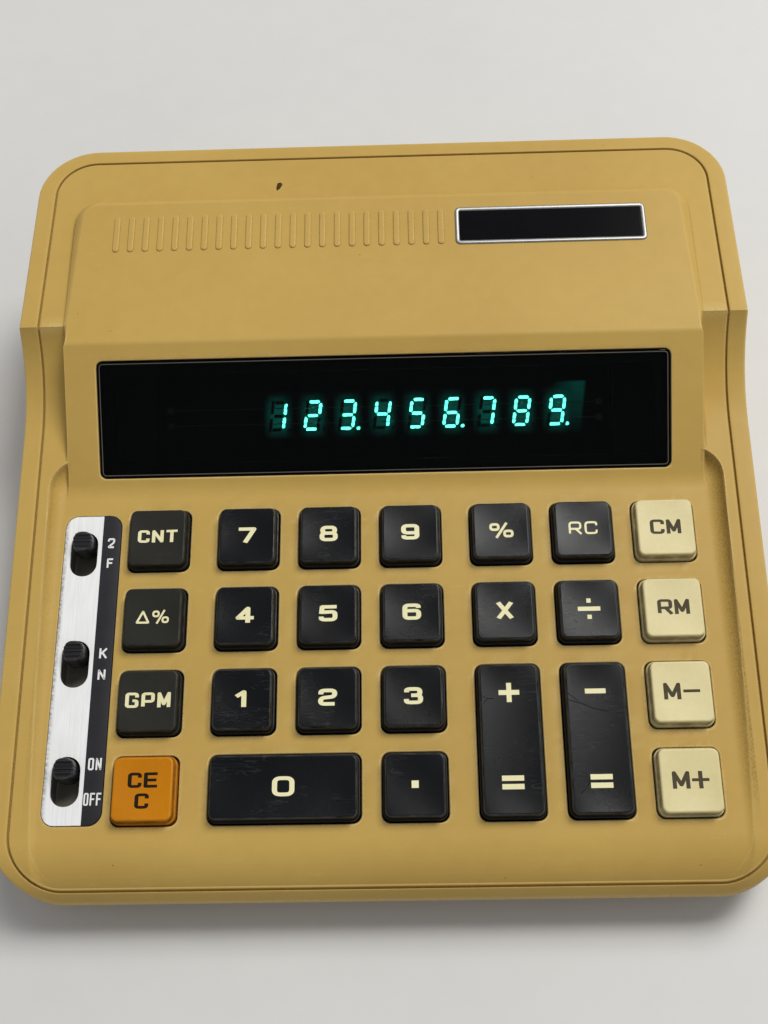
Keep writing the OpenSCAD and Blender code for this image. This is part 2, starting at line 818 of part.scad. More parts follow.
module screw_posts() {
  intersection() {
    for (p = SCREWS) translate([p.x, p.y, boss_top]) cylinder(far, r = screw_post_r);
    across(2 * far) rim_profile(wall - weld);
  }
}

module top_case() {
  color("darkkhaki") difference() {
    union() {
      difference() {
        union() {
          difference() {
            intersection() {
              slab(0, far)
                case_plan(rim_side + parting_gap, rim_front + parting_gap, rim_back + parting_gap);
              across(2 * far) rim_profile(0);
            }
            across(2 * far) rim_profile(skirt_h - play);
            on_deck() well();
            on_deck() front_roll();
          }
          hump();
        }
        upper_hollow();
      }
      grip_ribs();
      screw_posts();
      on_deck() at_posts() slab(guide_top, -wall + weld) circle(post_r);
    }
    on_deck() {
      for (k = KEYS) translate(key_middle(k)) slab(-wall - cut, cut)
        round_rect(key_w(k) + 2 * key_gap, key_d(k) + 2 * key_gap, key_corner + key_gap);
      translate([panel_x, panel_y]) slab(-panel_seat, cut)
        round_rect(panel_w + 2 * play, panel_len + 2 * play, panel_corner + play);
      at_slots() slab(-wall - cut, cut) round_rect(slot_w, slot_len, slot_corner);
      at_posts() slab(guide_top - cut, -wall) circle(board_screw_r + play);
    }
    on_face() {
      slab(-window_t - play, cut)
        round_rect(window_w + 2 * play, window_h + 2 * play, window_corner + play);
      slab(-face_wall - cut, cut)
        round_rect(window_w - 2 * window_ledge, window_h - 2 * window_ledge, window_corner / 2);
    }
    on_badge() slab(-badge_t, cut) round_rect(badge_w + 2 * play, badge_h + 2 * play, badge_corner + play);
    for (p = SCREWS) translate([p.x, p.y, 0]) cylinder(screw_seat + screw_len + cut, r = screw_r + play);
  }
}

module display_window() {
  color("black") on_face() slab(-window_t - play, -play) round_rect(window_w, window_h, window_corner);
}

module badge_plate() {
  color("silver") on_badge() difference() {
    slab(-badge_t, rib_h) round_rect(badge_w, badge_h, badge_corner);
    slab(rib_h - badge_recess, cut)
      round_rect(badge_w - 2 * badge_rim, badge_h - 2 * badge_rim, badge_corner / 2);
  }
}

module badge_inlay() {
  color("black") on_badge() slab(rib_h - badge_recess, rib_h - badge_recess + badge_inlay_t)
    round_rect(badge_w - 2 * badge_rim - play, badge_h - 2 * badge_rim - play, badge_corner / 2);
}

module switch_panel() {
  color("silver") on_deck() difference() {
    translate([panel_x, panel_y]) slab(-panel_seat, panel_t - panel_seat)
      round_rect(panel_w, panel_len, panel_corner);
    at_slots() slab(-far, far) round_rect(slot_w, slot_len, slot_corner);
  }
}

module case_screws() {
  color("gray") for (p = SCREWS) translate([p.x, p.y, screw_seat]) {
    translate([0, 0, -screw_head_t]) cylinder(screw_head_t, r = screw_head_r);
    cylinder(screw_len, r = screw_r);
  }
}

module rubber_feet() {
  color("dimgray") for (p = FEET) translate([p.x, p.y, 0]) {
    cylinder(foot_h, r = foot_r);
    cylinder(floor_top, r = foot_stub_r);
  }
}

// Keyboard

module keycap(k) {
  w = key_w(k);
  d = key_d(k);
  ends = [
    for (i = [0 : k[3] - 1], j = [0 : k[4] - 1]) [column_x(k[1] + i), row_y(k[2] + j)] - key_middle(k)
  ];
  color(k[5]) on_deck() translate(key_middle(k)) {
    difference() {
      intersection() {
        slab(flange_top - weld, key_h) round_rect(w, d, key_corner);
        along_depth() polygon([
          [-w / 2, -far], [w / 2, -far], [w / 2, key_skirt], [w / 2 - key_lean, key_h],
          [-w / 2 + key_lean, key_h], [-w / 2, key_skirt]
        ]);
        across(2 * far) polygon([
          [-d / 2, -far], [d / 2, -far], [d / 2, key_skirt], [d / 2 - key_lean, key_h],
          [-d / 2 + key_lean, key_h], [-d / 2, key_skirt]
        ]);
      }
      translate([0, 0, key_h - key_dish + dish_r]) {
        for (e = ends) translate(e) sphere(dish_r, $fn = 160);
        if (len(ends) > 1) rotate(k[3] > 1 ? [0, 90, 0] : [90, 0, 0])
          cylinder(norm(ends[1] - ends[0]), r = dish_r, center = true, $fn = 160);
      }
    }
    slab(flange_under, flange_top) round_rect(w + 2 * flange_w, d + 2 * flange_w, key_corner);
    for (e = ends) translate([e.x, e.y, stem_end]) cylinder(flange_under - stem_end + weld, r = stem_r);
  }
}

module key_guide_plate() {
  color("ivory") on_deck() difference() {
    union() {
      translate([key_block_left, key_block_front]) slab(guide_under, guide_top)
        square([key_block_right - key_block_left, key_block_back - key_block_front]);
      at_posts() slab(board_top, guide_under + weld) circle(post_r + spacer_t);
    }
    at_cells() slab(guide_under - cut, guide_top + cut) circle(stem_r + stem_gap);
    at_posts() slab(board_top - cut, guide_top + cut) circle(board_screw_r + play);
  }
}

module key_springs() {
  inner = stem_r + stem_gap + play;
  color("silver") on_deck() at_cells() slab(guide_top, flange_under - play / 3) difference() {
    circle(inner + spring_t);
    circle(inner);
  }
}

module key_contacts() {
  color("gold") on_deck() at_cells() slab(board_top, contact_top) circle(contact_r);
}

module keyboard_board() {
  color("sienna") on_deck() difference() {
    translate([key_block_left, key_block_front]) slab(board_under, board_top)
      square([key_block_right - key_block_left, key_block_back - key_block_front]);
    at_posts() slab(board_under - cut, board_top + cut) circle(board_screw_r + play);
  }
}

// A chip under the keyboard board: a moulded block on two rows of legs
module chip(x, y, w, d, legs) {
  body_top = board_under - chip_gap;
  translate([x, y]) {
    slab(body_top - chip_t, body_top) round_rect(w, d, chip_corner);
    for (i = [0 : legs - 1], s = [-1, 1])
      translate([(i - (legs - 1) / 2) * chip_leg_pitch, s * (d / 2 - chip_leg), 0])
        slab(body_top - weld, board_under) square(chip_leg, center = true);
  }
}

module calculator_chip() {
  color("dimgray") on_deck() chip(column_x(3), row_y(0), calculator_chip_w, calculator_chip_d, 14);
}

module driver_chips() {
  color("dimgray") on_deck() for (i = [1, 5])
    chip(column_x(i), row_y(0), driver_chip_w, driver_chip_d, 7);
}

module board_screws() {
  color("gray") {
    on_deck() at_posts() {
      slab(board_under - board_head_t, board_under) circle(board_head_r);
      slab(board_under - weld, guide_top + 3 * cut) circle(board_screw_r);
    }
    for (p = POWER_SCREWS) translate([p.x, p.y]) {
      slab(power_top, power_top + board_head_t) circle(board_head_r);
      slab(power_z - power_lift / 2, power_top + weld) circle(board_screw_r);
    }
  }
}

// Slide switches

module switch_housings() {
  room = [slider_w + 2 * key_gap, slider_len + knob_travel + 2 * key_gap];
  color("dimgray") on_deck() at_slots() difference() {
    slab(-wall - housing_h, -wall) square(room + 2 * [housing_wall, housing_wall], center = true);
    slab(-wall - housing_h + housing_wall, 0) square(room, center = true);
  }
}

module switch_knob(s) {
  ridge = knob_len / 9;
  color("black") on_deck() translate([slots_x, panel_y + s[1] * slot_pitch + knob_rest, 0]) {
    difference() {
      slab(slider_top - weld, knob_h) round_rect(knob_w, knob_len, knob_corner);
      for (i = [-1.5, -0.5, 0.5, 1.5]) translate([0, i * 2 * ridge, knob_h])
        cube([2 * knob_w, ridge, 2 * ridge], center = true);
    }
    slab(slider_top - slider_t, slider_top) square([slider_w, slider_len], center = true);
  }
}

// Display

module display_hood() {
  color("black") on_face() difference() {
    slab(hood_back, hood_front) square([hood_w, hood_h], center = true);
    slab(tube_front, 0)
      square([hood_w - 2 * hood_wall, window_h - 2 * window_ledge - 2 * hood_step], center = true);
    slab(hood_back - cut, tube_front + cut) square([tube_len + 2 * play, tube_h + 2 * play], center = true);
  }
}

module tube_glass() {
  color("darkcyan", 0.4) on_face() difference() {
    slab(base_front, tube_front) round_rect(tube_len, tube_h, tube_corner);
    slab(base_front - cut, tube_front - glass_t)
      round_rect(tube_len - 2 * glass_t, tube_h - 2 * glass_t, tube_inner_corner);
  }
}

module tube_base() {
  color("darkslategray") on_face() slab(base_back, base_front)
    round_rect(tube_len, tube_h, tube_corner);
}

module tube_lit_segments() {
  color("aquamarine") on_face() digit_segments(true);
}

module tube_dark_segments() {
  color("darkslategray") on_face() digit_segments(false);
}

module tube_filaments() {
  wire_len = tube_len - 2 * glass_t - 2 * filament_end;
  wire_z = base_front + filament_lift;
  color("silver") on_face() for (y = [-digit_h / 4, digit_h / 4]) {
    translate([0, y, wire_z]) rotate([0, 90, 0]) cylinder(wire_len, r = filament_r, center = true);
    for (s = [-1, 1]) translate([s * wire_len / 2, y, 0]) slab(base_front, wire_z + 2 * filament_r)
      square([filament_post_w, filament_post_d], center = true);
  }
}

module tube_pins() {
  color("silver") on_face() for (i = [0 : 2 * places]) translate([(i - places) * place_pitch / 2, 0, 0])
    slab(hood_back, base_back) translate([0, -tube_h / 2 + pin_edge]) square(pin_w, center = true);
}

module display_board() {
  color("sienna") on_face() slab(display_board_back, hood_back)
    square([hood_w - 2 * display_board_in, hood_h], center = true);
}

// Flat cable from the back of the keyboard board to the foot of the display board
module ribbon_cable() {
  middle = (hood_back + display_board_back) / 2;
  start = deck_point(key_block_back + play, (board_top + board_under) / 2);
  end = face_middle - face_along * (hood_h / 2 + play) + face_normal * middle;
  sag = [(start.x + end.x) / 2, min(start.y, end.y) - cable_sag];
  color("lightgray") across(cable_w) polygon([
    start + [0, cable_t / 2], sag + [0, cable_t], end + face_normal * cable_t / 2,
    end - face_normal * cable_t / 2, sag, start - [0, cable_t / 2]
  ]);
}

// Power supply

module power_board() {
  color("sienna") difference() {
    translate([power_x, supply_y]) slab(power_z, power_top) square([power_w, power_d], center = true);
    for (p = POWER_SCREWS) translate([p.x, p.y]) slab(0, far) circle(board_screw_r + play);
  }
}

module capacitors() {
  color("steelblue") for (i = [0 : 2]) translate([power_x + (i - 1) * capacitor_pitch, supply_y, power_top])
    cylinder(capacitor_h - i * capacitor_less_h, r = capacitor_r - i * capacitor_less_r);
}

module rectifier_diodes() {
  x = power_x - power_w / 2 + diode_edge;
  color("dimgray") for (i = [0 : 3]) translate([x, supply_y + (i - 1.5) * diode_pitch, power_top + diode_r])
    rotate([0, 90, 0]) cylinder(diode_len, r = diode_r, center = true);
}

// Glass fuse in two spring clips
module fuse() {
  translate([power_x + power_w / 2 - fuse_edge, supply_y, power_top]) {
    color("silver") for (s = [-1, 1]) translate([0, s * fuse_len / 2, 0]) {
      translate([0, 0, clip_leg_h / 2]) cube([clip_leg_w, clip_leg_d, clip_leg_h], center = true);
      translate([0, 0, fuse_z]) rotate([90, 0, 0]) cylinder(clip_len, r = clip_r, center = true);
    }
    color("lightcyan", 0.5) translate([0, 0, fuse_z]) rotate([90, 0, 0])
      cylinder(fuse_len, r = fuse_r, center = true);
  }
}

module transformer_core() {
  color("slategray") translate([core_x, supply_y, floor_top]) difference() {
    translate([0, 0, core_h / 2]) cube([core_w, core_d, core_h], center = true);
    for (s = [-1, 1]) translate([s * (leg_w + core_window_w) / 2, 0, core_h / 2])
      cube([core_window_w, 2 * core_d, core_window_h], center = true);
  }
}

module transformer_coil() {
  w = leg_w + 2 * core_window_w - 2 * play;
  h = core_window_h - 2 * play;
  color("peru") translate([core_x, supply_y, floor_top + (core_h - h) / 2]) difference() {
    linear_extrude(h) round_rect(w, core_d + 2 * coil_out, coil_corner);
    translate([0, 0, -cut]) linear_extrude(h + 2 * cut)
      square([leg_w + 2 * play, core_d + 2 * play], center = true);
  }
}

module cord_gland() {
  color("black") translate([gland_x, back_y, gland_z]) rotate([90, 0, 0]) difference() {
    union() {
      cylinder(gland_flange_t, r = gland_flange_r);
      cylinder(gland_len, r = gland_r);
      translate([0, 0, wall]) cylinder(gland_nut_t, r = gland_flange_r);
    }
    translate([0, 0, -cut]) cylinder(gland_len + 2 * cut, r = gland_bore);
  }
}

bottom_case();
top_case();
display_window();
badge_plate();
badge_inlay();
switch_panel();
switch_housings();
key_guide_plate();
key_springs();
key_contacts();
keyboard_board();
calculator_chip();
driver_chips();
display_hood();
tube_glass();
tube_base();
tube_lit_segments();
tube_dark_segments();
tube_filaments();
tube_pins();
display_board();
ribbon_cable();
power_board();
capacitors();
rectifier_diodes();
fuse();
transformer_core();
transformer_coil();
cord_gland();
case_screws();
board_screws();
rubber_feet();
for (s = SWITCHES) switch_knob(s);
for (k = KEYS) keycap(k);
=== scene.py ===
import math

import bmesh
import bpy
import numpy as np
from mathutils import Matrix, geometry


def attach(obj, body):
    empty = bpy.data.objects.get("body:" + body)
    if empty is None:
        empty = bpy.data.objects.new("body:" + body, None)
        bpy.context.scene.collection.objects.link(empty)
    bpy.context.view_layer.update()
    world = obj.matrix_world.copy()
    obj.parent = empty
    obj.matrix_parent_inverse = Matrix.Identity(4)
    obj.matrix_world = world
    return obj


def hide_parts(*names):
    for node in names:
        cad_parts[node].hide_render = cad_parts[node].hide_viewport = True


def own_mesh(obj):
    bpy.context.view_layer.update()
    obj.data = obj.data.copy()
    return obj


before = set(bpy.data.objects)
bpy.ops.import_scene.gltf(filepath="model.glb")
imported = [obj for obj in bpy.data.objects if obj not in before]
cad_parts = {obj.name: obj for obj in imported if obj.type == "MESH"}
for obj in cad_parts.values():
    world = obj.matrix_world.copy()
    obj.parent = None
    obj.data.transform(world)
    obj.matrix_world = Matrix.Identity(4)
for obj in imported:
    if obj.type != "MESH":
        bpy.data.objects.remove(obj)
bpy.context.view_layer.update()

# Metres in a millimetre, and how close in metres points are merged
MM, WELD = 0.001, 1.5e-6

# Sizes in millimetres, nearly all as in the part's source
BODY_W, BODY_D = 175.0, 184.5
FRONT, BACK = -BODY_D / 2, BODY_D / 2
SHELF_Z, SHELF_D, SWEEP_R = 47.2, 55.2, 32.0
RIM_SIDE, RIM_FRONT, RIM_BACK, PARTING = 4.4, 1.9, 4.0, 0.4
CORNER_FRONT, CORNER_BACK = 16.0, 14.5
WALL, SKIRT_H, FOOT_H, FLOOR_TOP = 2.5, 8.0, 3.0, 5.5
TAPER_H, TAPER_IN = 8.8, 4.0
TILT, DECK_Z = math.radians(5.0), 26.0
FRONT_LIP, ROLL_R, RIM_H_FRONT, RIM_H_BACK = 11.6, 12.9, 0.4, 3.4
WELL_MARGIN, COVE_R, WELL_RUN, WELL_CORNER_FRONT, WELL_CORNER_BACK = 7.4, 3.7, 6.9, 15.0, 7.0
HUMP_MARGIN, HUMP_BACK, HUMP_CORNER, HUMP_RISE, HUMP_EDGE_R, HUMP_RUN = 12.0, 19.0, 5.0, 3.0, 2.5, 91.0
HUMP_SLOPE, FACE_TILT = math.radians(3.65), math.radians(26.5)
WINDOW_FOOT, WINDOW_MARGIN, WINDOW_H, WINDOW_T, WINDOW_CORNER = 3.35, 7.1, 28.0, 2.0, 1.5
RIB_COUNT, RIB_EDGE, RIB_GAP, RIB_W, RIB_LEN, RIB_H, RIB_BACK = 23, 10.0, 3.5, 1.7, 10.5, 0.4, 10.6
BADGE_W, BADGE_H, BADGE_EDGE, BADGE_RIM, BADGE_CORNER = 46.9, 10.9, 10.1, 1.1, 1.3
KEY_SPACE_X, KEY_SPACE_Y, GROUP_GAP, KEY_MARGIN, KEY_REAR, KEY_FRONT = 4.4, 4.8, 2.1, 7.45, 5.55, 3.45
KEY_LEAN, KEY_H, KEY_SKIRT, KEY_DISH, KEY_GAP, KEY_CORNER = 0.8, 3.1, 0.9, 0.35, 0.3, 1.2
PANEL_W, PANEL_GAP, PANEL_SHORT, PANEL_SHIFT, PANEL_CORNER, PANEL_PROUD = 13.3, 1.95, 0.35, 0.3, 3.0, 0.1
SLOT_X, SLOT_END, SLOT_W, SLOT_LEN, SLOT_CORNER = 4.8, 9.6, 6.4, 11.0, 3.1
KNOB_W, KNOB_LEN, KNOB_H, KNOB_TRAVEL = 5.0, 5.2, 2.6, 4.8
KEY_TRIM, KEY_TRAVEL, FLANGE_W, FLANGE_T, STEM_R, STEM_GAP = 0.3, 2.6, 0.9, 1.1, 2.5, 0.08
GUIDE_T, SPRING_T, SPRING_SOLID = 1.6, 0.8, 0.7
PLACES, PLACE_PITCH, PLACE_SHIFT, TUBE_DEPTH, TUBE_T, ANODE_T = 11, 8.7, 0.5, 9.6, 5.5, 0.2
DIGIT_H, DIGIT_W, SEGMENT_W, DIGIT_LEAN = 7.6, 4.1, 0.8, math.radians(8.0)
FOOT_SIDE, FOOT_END = 22.0, 24.0
SCREW_SIDE, SCREW_FRONT, SCREW_BACK, SCREW_WELL_R = 25.0, 9.0, 11.5, 2.95
GLAND_X, GLAND_Z, GLAND_HOLE_R = 45.5, 22.0, 7.15
PLAY = 0.15

# Places that follow from the sizes
WELL_W = BODY_W - 2 * WELL_MARGIN
PANEL_X = -WELL_W / 2 + COVE_R + 2 * PLAY + PANEL_W / 2
FIELD_LEFT = PANEL_X + PANEL_W / 2 + PANEL_GAP
PITCH_X = (WELL_W / 2 - KEY_MARGIN - FIELD_LEFT - 2 * GROUP_GAP + KEY_SPACE_X) / 7
DECK_LEN = (BODY_D - HUMP_RUN - FRONT_LIP) / math.cos(TILT)
FIELD_D = DECK_LEN - KEY_FRONT - KEY_REAR
PITCH_Y = (FIELD_D + KEY_SPACE_Y) / 4
SIDE_X, SIDE_Y = PITCH_X - KEY_SPACE_X, PITCH_Y - KEY_SPACE_Y
COLUMN = [FIELD_LEFT + SIDE_X / 2 + i * PITCH_X + GROUP_GAP * ((i > 0) + (i > 3)) for i in range(7)]
ROW = [(1 - j) * PITCH_Y for j in range(4)]
FACE_FOOT = ROW[0] + SIDE_Y / 2 + KEY_REAR
FRONT_FLAT = DECK_LEN - FACE_FOOT
DECK_Y = BACK - HUMP_RUN - FACE_FOOT * math.cos(TILT)
PANEL_LEN = FIELD_D - 2 * PANEL_SHORT
PANEL_Y = (ROW[0] + ROW[3]) / 2 - PANEL_SHIFT
SLOTS_X = PANEL_X - PANEL_W / 2 + SLOT_X
SLOT_PITCH = PANEL_LEN / 2 - SLOT_END
HUMP_W = BODY_W - 2 * HUMP_MARGIN
WINDOW_W = HUMP_W - 2 * WINDOW_MARGIN
WELL_BACK = FACE_FOOT + WELL_RUN
WELL_FRONT = FRONT_FLAT + ROLL_R + COVE_R


def plane(origin, slope):
    """A plane turned by slope about X: its own x, y and height z become points of the object."""
    c, s = math.cos(slope), math.sin(slope)

    def place(x, y, z=0.0):
        x, y, z = np.broadcast_arrays(np.asarray(x, float), y, z)
        return np.stack([origin[0] + x, origin[1] + y * c - z * s, origin[2] + y * s + z * c], -1)

    place.origin, place.slope = origin, slope
    return place


deck = plane((0.0, DECK_Y, DECK_Z), TILT)
level = plane((0.0, 0.0, 0.0), 0.0)


def side_point(y, z):
    """Side-view point (Y, Z) of the deck's own point (y, z)."""
    return deck(0.0, y, z)[1:]


# Side-view lines of the upper case, which run on past it
PAST_FLOOR, PAST_TOP, PAST_SHELF = 120.0, 30, 5
FACE_ANGLE = TILT + FACE_TILT
FACE_ALONG = np.array([math.cos(FACE_ANGLE), math.sin(FACE_ANGLE)])
TOP_ALONG = np.array([math.cos(HUMP_SLOPE), math.sin(HUMP_SLOPE)])
FOOT_POINT = side_point(FACE_FOOT, 0.0)
HUMP_TOP = np.array([BACK - HUMP_BACK, SHELF_Z + HUMP_RISE])


def cross2(a, b):
    """Cross product of two directions in the side view."""
    return a[0] * b[1] - a[1] * b[0]


HUMP_EDGE = FOOT_POINT + FACE_ALONG * cross2(HUMP_TOP - FOOT_POINT, TOP_ALONG) / cross2(FACE_ALONG, TOP_ALONG)
FACE_MIDDLE = FOOT_POINT + FACE_ALONG * (WINDOW_FOOT + WINDOW_H / 2)
TOP_MIDDLE = HUMP_TOP - TOP_ALONG * RIB_BACK
face = plane((0.0, *FACE_MIDDLE), FACE_ANGLE)
crown = plane((0.0, *TOP_MIDDLE), HUMP_SLOPE)


def ways_at(angles):
    """Unit directions at the given angles, in radians."""
    return np.stack([np.cos(angles), np.sin(angles)], -1)


def full_turn(steps):
    """Even angles once round a circle."""
    return np.linspace(0, 2 * math.pi, steps + 1)[:-1]


def arc(centre, radius, start, end, steps=24):
    """Points of a circle from angle start to angle end, in radians."""
    return np.asarray(centre) + radius * ways_at(np.linspace(start, end, steps))


def filleted(points, radii, steps=14):
    """A broken line with an arc of the given radius set tangent into each inner corner."""
    points = [np.asarray(p, float) for p in points]
    out = [points[0][None]]
    for before, p, after, r in zip(points, points[1:], points[2:], radii):
        u = (p - before) / np.linalg.norm(p - before)
        v = (after - p) / np.linalg.norm(after - p)
        half = math.atan2(cross2(u, v), u @ v) / 2
        side = math.copysign(1.0, half)
        centre = p - u * r * abs(math.tan(half)) + side * r * np.array([-u[1], u[0]])
        start = math.atan2(-side * u[0], side * u[1])
        out.append(arc(centre, r, start, start + 2 * half, steps))
    return np.concatenate(out + [points[-1][None]])


ROLL_CENTRE = side_point(-FRONT_FLAT, -ROLL_R)
ROLL_SPAN = (math.radians(172), math.radians(90) + TILT)
RIM_START = side_point(-FRONT_FLAT, RIM_H_FRONT)
RIM_RUN = side_point(WELL_BACK, RIM_H_BACK) - RIM_START
RIM_ALONG = RIM_RUN / np.linalg.norm(RIM_RUN)
RIM_NORMAL = np.array([-RIM_ALONG[1], RIM_ALONG[0]])
CREASE = np.array([BACK - SHELF_D, SHELF_Z])
CREASE_V = (CREASE - RIM_START) @ RIM_NORMAL
SWEEP_U = (CREASE - RIM_START) @ RIM_ALONG - math.sqrt(2 * SWEEP_R * CREASE_V - CREASE_V ** 2)
SWEEP_START = RIM_START + RIM_ALONG * SWEEP_U
SWEEP_CENTRE = SWEEP_START + RIM_NORMAL * SWEEP_R
SWEEP_SPAN = [math.atan2(*(p - SWEEP_CENTRE)[::-1]) for p in (SWEEP_START, CREASE)]
RIM_LINE = np.concatenate([
    arc(ROLL_CENTRE, ROLL_R + RIM_H_FRONT, *ROLL_SPAN, 40), arc(SWEEP_CENTRE, SWEEP_R, *SWEEP_SPAN, 40),
    [[BACK + PAST_SHELF, SHELF_Z]]])
FLOOR_LINE = np.concatenate([arc(ROLL_CENTRE, ROLL_R, *ROLL_SPAN, 40), [side_point(PAST_FLOOR, 0.0)]])
FOOT_FILLET = 9.0
CROWN_LINE = np.concatenate([
    arc(ROLL_CENTRE, ROLL_R, *ROLL_SPAN, 40),
    filleted([side_point(0.0, 0.0), FOOT_POINT, HUMP_EDGE, HUMP_TOP + TOP_ALONG * PAST_TOP],
             [FOOT_FILLET, HUMP_EDGE_R])])


def smooth(t):
    """Soft step from 0 to 1 with level ends."""
    t = np.clip(t, 0.0, 1.0)
    return t * t * (3 - 2 * t)


def inside(x, y, half, end, r):
    """Distance inside a strip of half-width half that ends at y = end with corners of radius r."""
    qx, qy = np.abs(x) - (half - r), y - (end - r)
    return r - (np.hypot(np.maximum(qx, 0), np.maximum(qy, 0)) + np.minimum(np.maximum(qx, qy), 0))


HUMP_FOOT, FOOT_R_MOST, SIDE_RUN, SIDE_RUN_GAIN, SIDE_BOW = 1.0, 1.2, 0.4, 0.75, 1.6
FAR_UP = 1e3


def well_room(x, y):
    """Distance inside the well's plan, a strip with rounded ends."""
    along = (y - DECK_Y) / math.cos(TILT)
    return np.minimum(inside(x, along, WELL_W / 2, WELL_BACK, WELL_CORNER_BACK),
                      inside(x, -along, WELL_W / 2, WELL_FRONT, WELL_CORNER_FRONT))


def case_height(x, y):
    """Height of the upper case: the lower of the rim's line and the well's floor with its cove, raised to the
    hump's line inside the hump's plan, over a run that is longer where the hump stands above the shelf. A
    quarter-round fillet lies round the hump's foot."""
    rim = np.interp(y, *RIM_LINE.T)
    floor = np.interp(y, *FLOOR_LINE.T)
    room = well_room(x, y)
    cove = COVE_R - np.sqrt(COVE_R ** 2 - (COVE_R - np.clip(room, 0, COVE_R)) ** 2)
    base = np.minimum(rim, np.where(room > 0, floor + cove, FAR_UP))
    top = np.interp(y, *CROWN_LINE.T)
    within = inside(x, y, HUMP_W / 2 + HUMP_FOOT, BACK - HUMP_BACK + HUMP_FOOT, HUMP_CORNER + HUMP_FOOT)
    share = np.clip(within / (SIDE_RUN + SIDE_RUN_GAIN * np.maximum(top - SHELF_Z, 0)), 0, 1)
    rise = np.maximum(top - base, 0)
    r = np.minimum(FOOT_R_MOST, rise / 2)
    foot = r - np.sqrt(np.maximum(r ** 2 - (r - np.clip(-within, 0, r)) ** 2, 0))
    return base + foot + (rise - foot) * (1 - (1 - share) ** SIDE_BOW)


class Shell:
    """Patches of one piece: points in millimetres, faces, and how worn and how grimy each point is, marks
    that on some pieces also paint highlights and shade.
    """

    def __init__(self):
        self.points, self.faces, self.wear, self.grime, self.count = [], [], [], [], 0

    def add(self, points, faces, wear=0.0, grime=0.0):
        """Take up a patch, whose faces count from its own first point."""
        points = np.asarray(points, float).reshape(-1, 3)
        self.faces += (np.asarray(faces) + self.count).tolist()
        self.points.append(points)
        self.wear.append(np.broadcast_to(np.asarray(wear, float).reshape(-1), len(points)))
        self.grime.append(np.broadcast_to(np.asarray(grime, float).reshape(-1), len(points)))
        self.count += len(points)

    def rings(self, rows, flip=False, closed=True, wear=0.0, grime=0.0):
        """Quads between neighbouring rows of points, an array of row, point and coordinate."""
        k, n = rows.shape[:2]
        index = np.arange(k * n).reshape(k, n)
        a, b = index[:-1], index[1:]
        if closed:
            quads = np.stack([a, np.roll(a, -1, 1), np.roll(b, -1, 1), b], -1)
        else:
            quads = np.stack([a[:, :-1], a[:, 1:], b[:, 1:], b[:, :-1]], -1)
        quads = quads.reshape(-1, 4)
        spread = [np.broadcast_to(np.asarray(m, float).reshape(-1, 1) if np.ndim(m) == 1 else m, (k, n))
                  for m in (wear, grime)]
        self.add(rows, quads[:, ::-1] if flip else quads, *spread)

    def cap(self, ring, flip=False):
        """One face across a ring of points."""
        order = np.arange(len(ring))[None]
        self.add(ring, order[:, ::-1] if flip else order)

    def piece(self, name, material, body, replaces=(), slot=None, sharp=35.0, outwards=False):
        """Join the patches into one smooth mesh that rides a body and takes the place of CAD nodes."""
        mesh = bpy.data.meshes.new(name)
        mesh.from_pydata((np.concatenate(self.points) * MM).tolist(), [], self.faces)
        for label, values in (("wear", self.wear), ("grime", self.grime)):
            marks = mesh.attributes.new(label, "FLOAT", "POINT").data
            marks.foreach_set("value", np.concatenate(values).astype(np.float32))
        work = bmesh.new()
        work.from_mesh(mesh)
        bmesh.ops.remove_doubles(work, verts=work.verts, dist=WELD)
        if outwards:
            bmesh.ops.recalc_face_normals(work, faces=work.faces)
        work.to_mesh(mesh)
        work.free()
        mesh.polygons.foreach_set("use_smooth", np.ones(len(mesh.polygons), bool))
        mesh.set_sharp_from_angle(angle=math.radians(sharp))
        mesh.materials.append(material)
        obj = bpy.data.objects.new(name, mesh)
        bpy.context.scene.collection.objects.link(obj)
        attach(obj, body)
        if replaces:
            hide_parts(*replaces)
        return obj


def round_loop(x0, y0, x1, y1, rf, rr, xs=(), ys=(), steps=8):
    """Outline of a rectangle with front corners of radius rf and rear corners of radius rr, counter-clockwise
    from its front edge, with the marks xs and ys on its straight sides."""
    xs, ys = np.sort(np.asarray(xs, float)), np.sort(np.asarray(ys, float))
    quarter = np.linspace(0, math.pi / 2, steps)
    points = []
    corners = ((x1 - rf, y0 + rf, rf, -math.pi / 2), (x1 - rr, y1 - rr, rr, 0.0),
               (x0 + rr, y1 - rr, rr, math.pi / 2), (x0 + rf, y0 + rf, rf, math.pi))
    sides = (np.stack([xs, np.full_like(xs, y0)], -1), np.stack([np.full_like(ys, x1), ys], -1),
             np.stack([xs[::-1], np.full_like(xs, y1)], -1), np.stack([np.full_like(ys, x0), ys[::-1]], -1))
    for (cx, cy, r, turn), side in zip(corners, sides):
        points += [side, np.array([cx, cy]) + r * ways_at(turn + quarter)]
    return np.concatenate(points)


LINE_CLEAR = 0.07


def grid_lines(marks, fills):
    """Sorted lines: every mark, and the even fills that keep away from the marks."""
    marks = np.unique(np.round(marks, 6))
    fill = np.concatenate([np.linspace(a, b, max(2, int(math.ceil((b - a) / step)) + 1))
                           for a, b, step in fills])
    clear = np.abs(fill[:, None] - marks).min(1) > LINE_CLEAR
    return np.unique(np.concatenate([marks, np.round(fill[clear], 6)]))


def border(rows):
    """Outer ring of a grid of points, counter-clockwise, and its outward directions in the plane."""
    ring = np.concatenate([rows[0, :-1], rows[:-1, -1], rows[-1, :0:-1], rows[:0:-1, 0]])
    along = np.roll(ring, -1, 0) - np.roll(ring, 1, 0)
    out = np.stack([along[:, 1], -along[:, 0]], -1)
    return ring, out / np.linalg.norm(out, axis=1, keepdims=True)


def grid_quads(rows, columns):
    """Faces of a grid of points: an array of row, column and the four points of each cell."""
    index = np.arange(rows * columns).reshape(rows, columns)
    return np.stack([index[:-1, :-1], index[:-1, 1:], index[1:, 1:], index[1:, :-1]], -1)


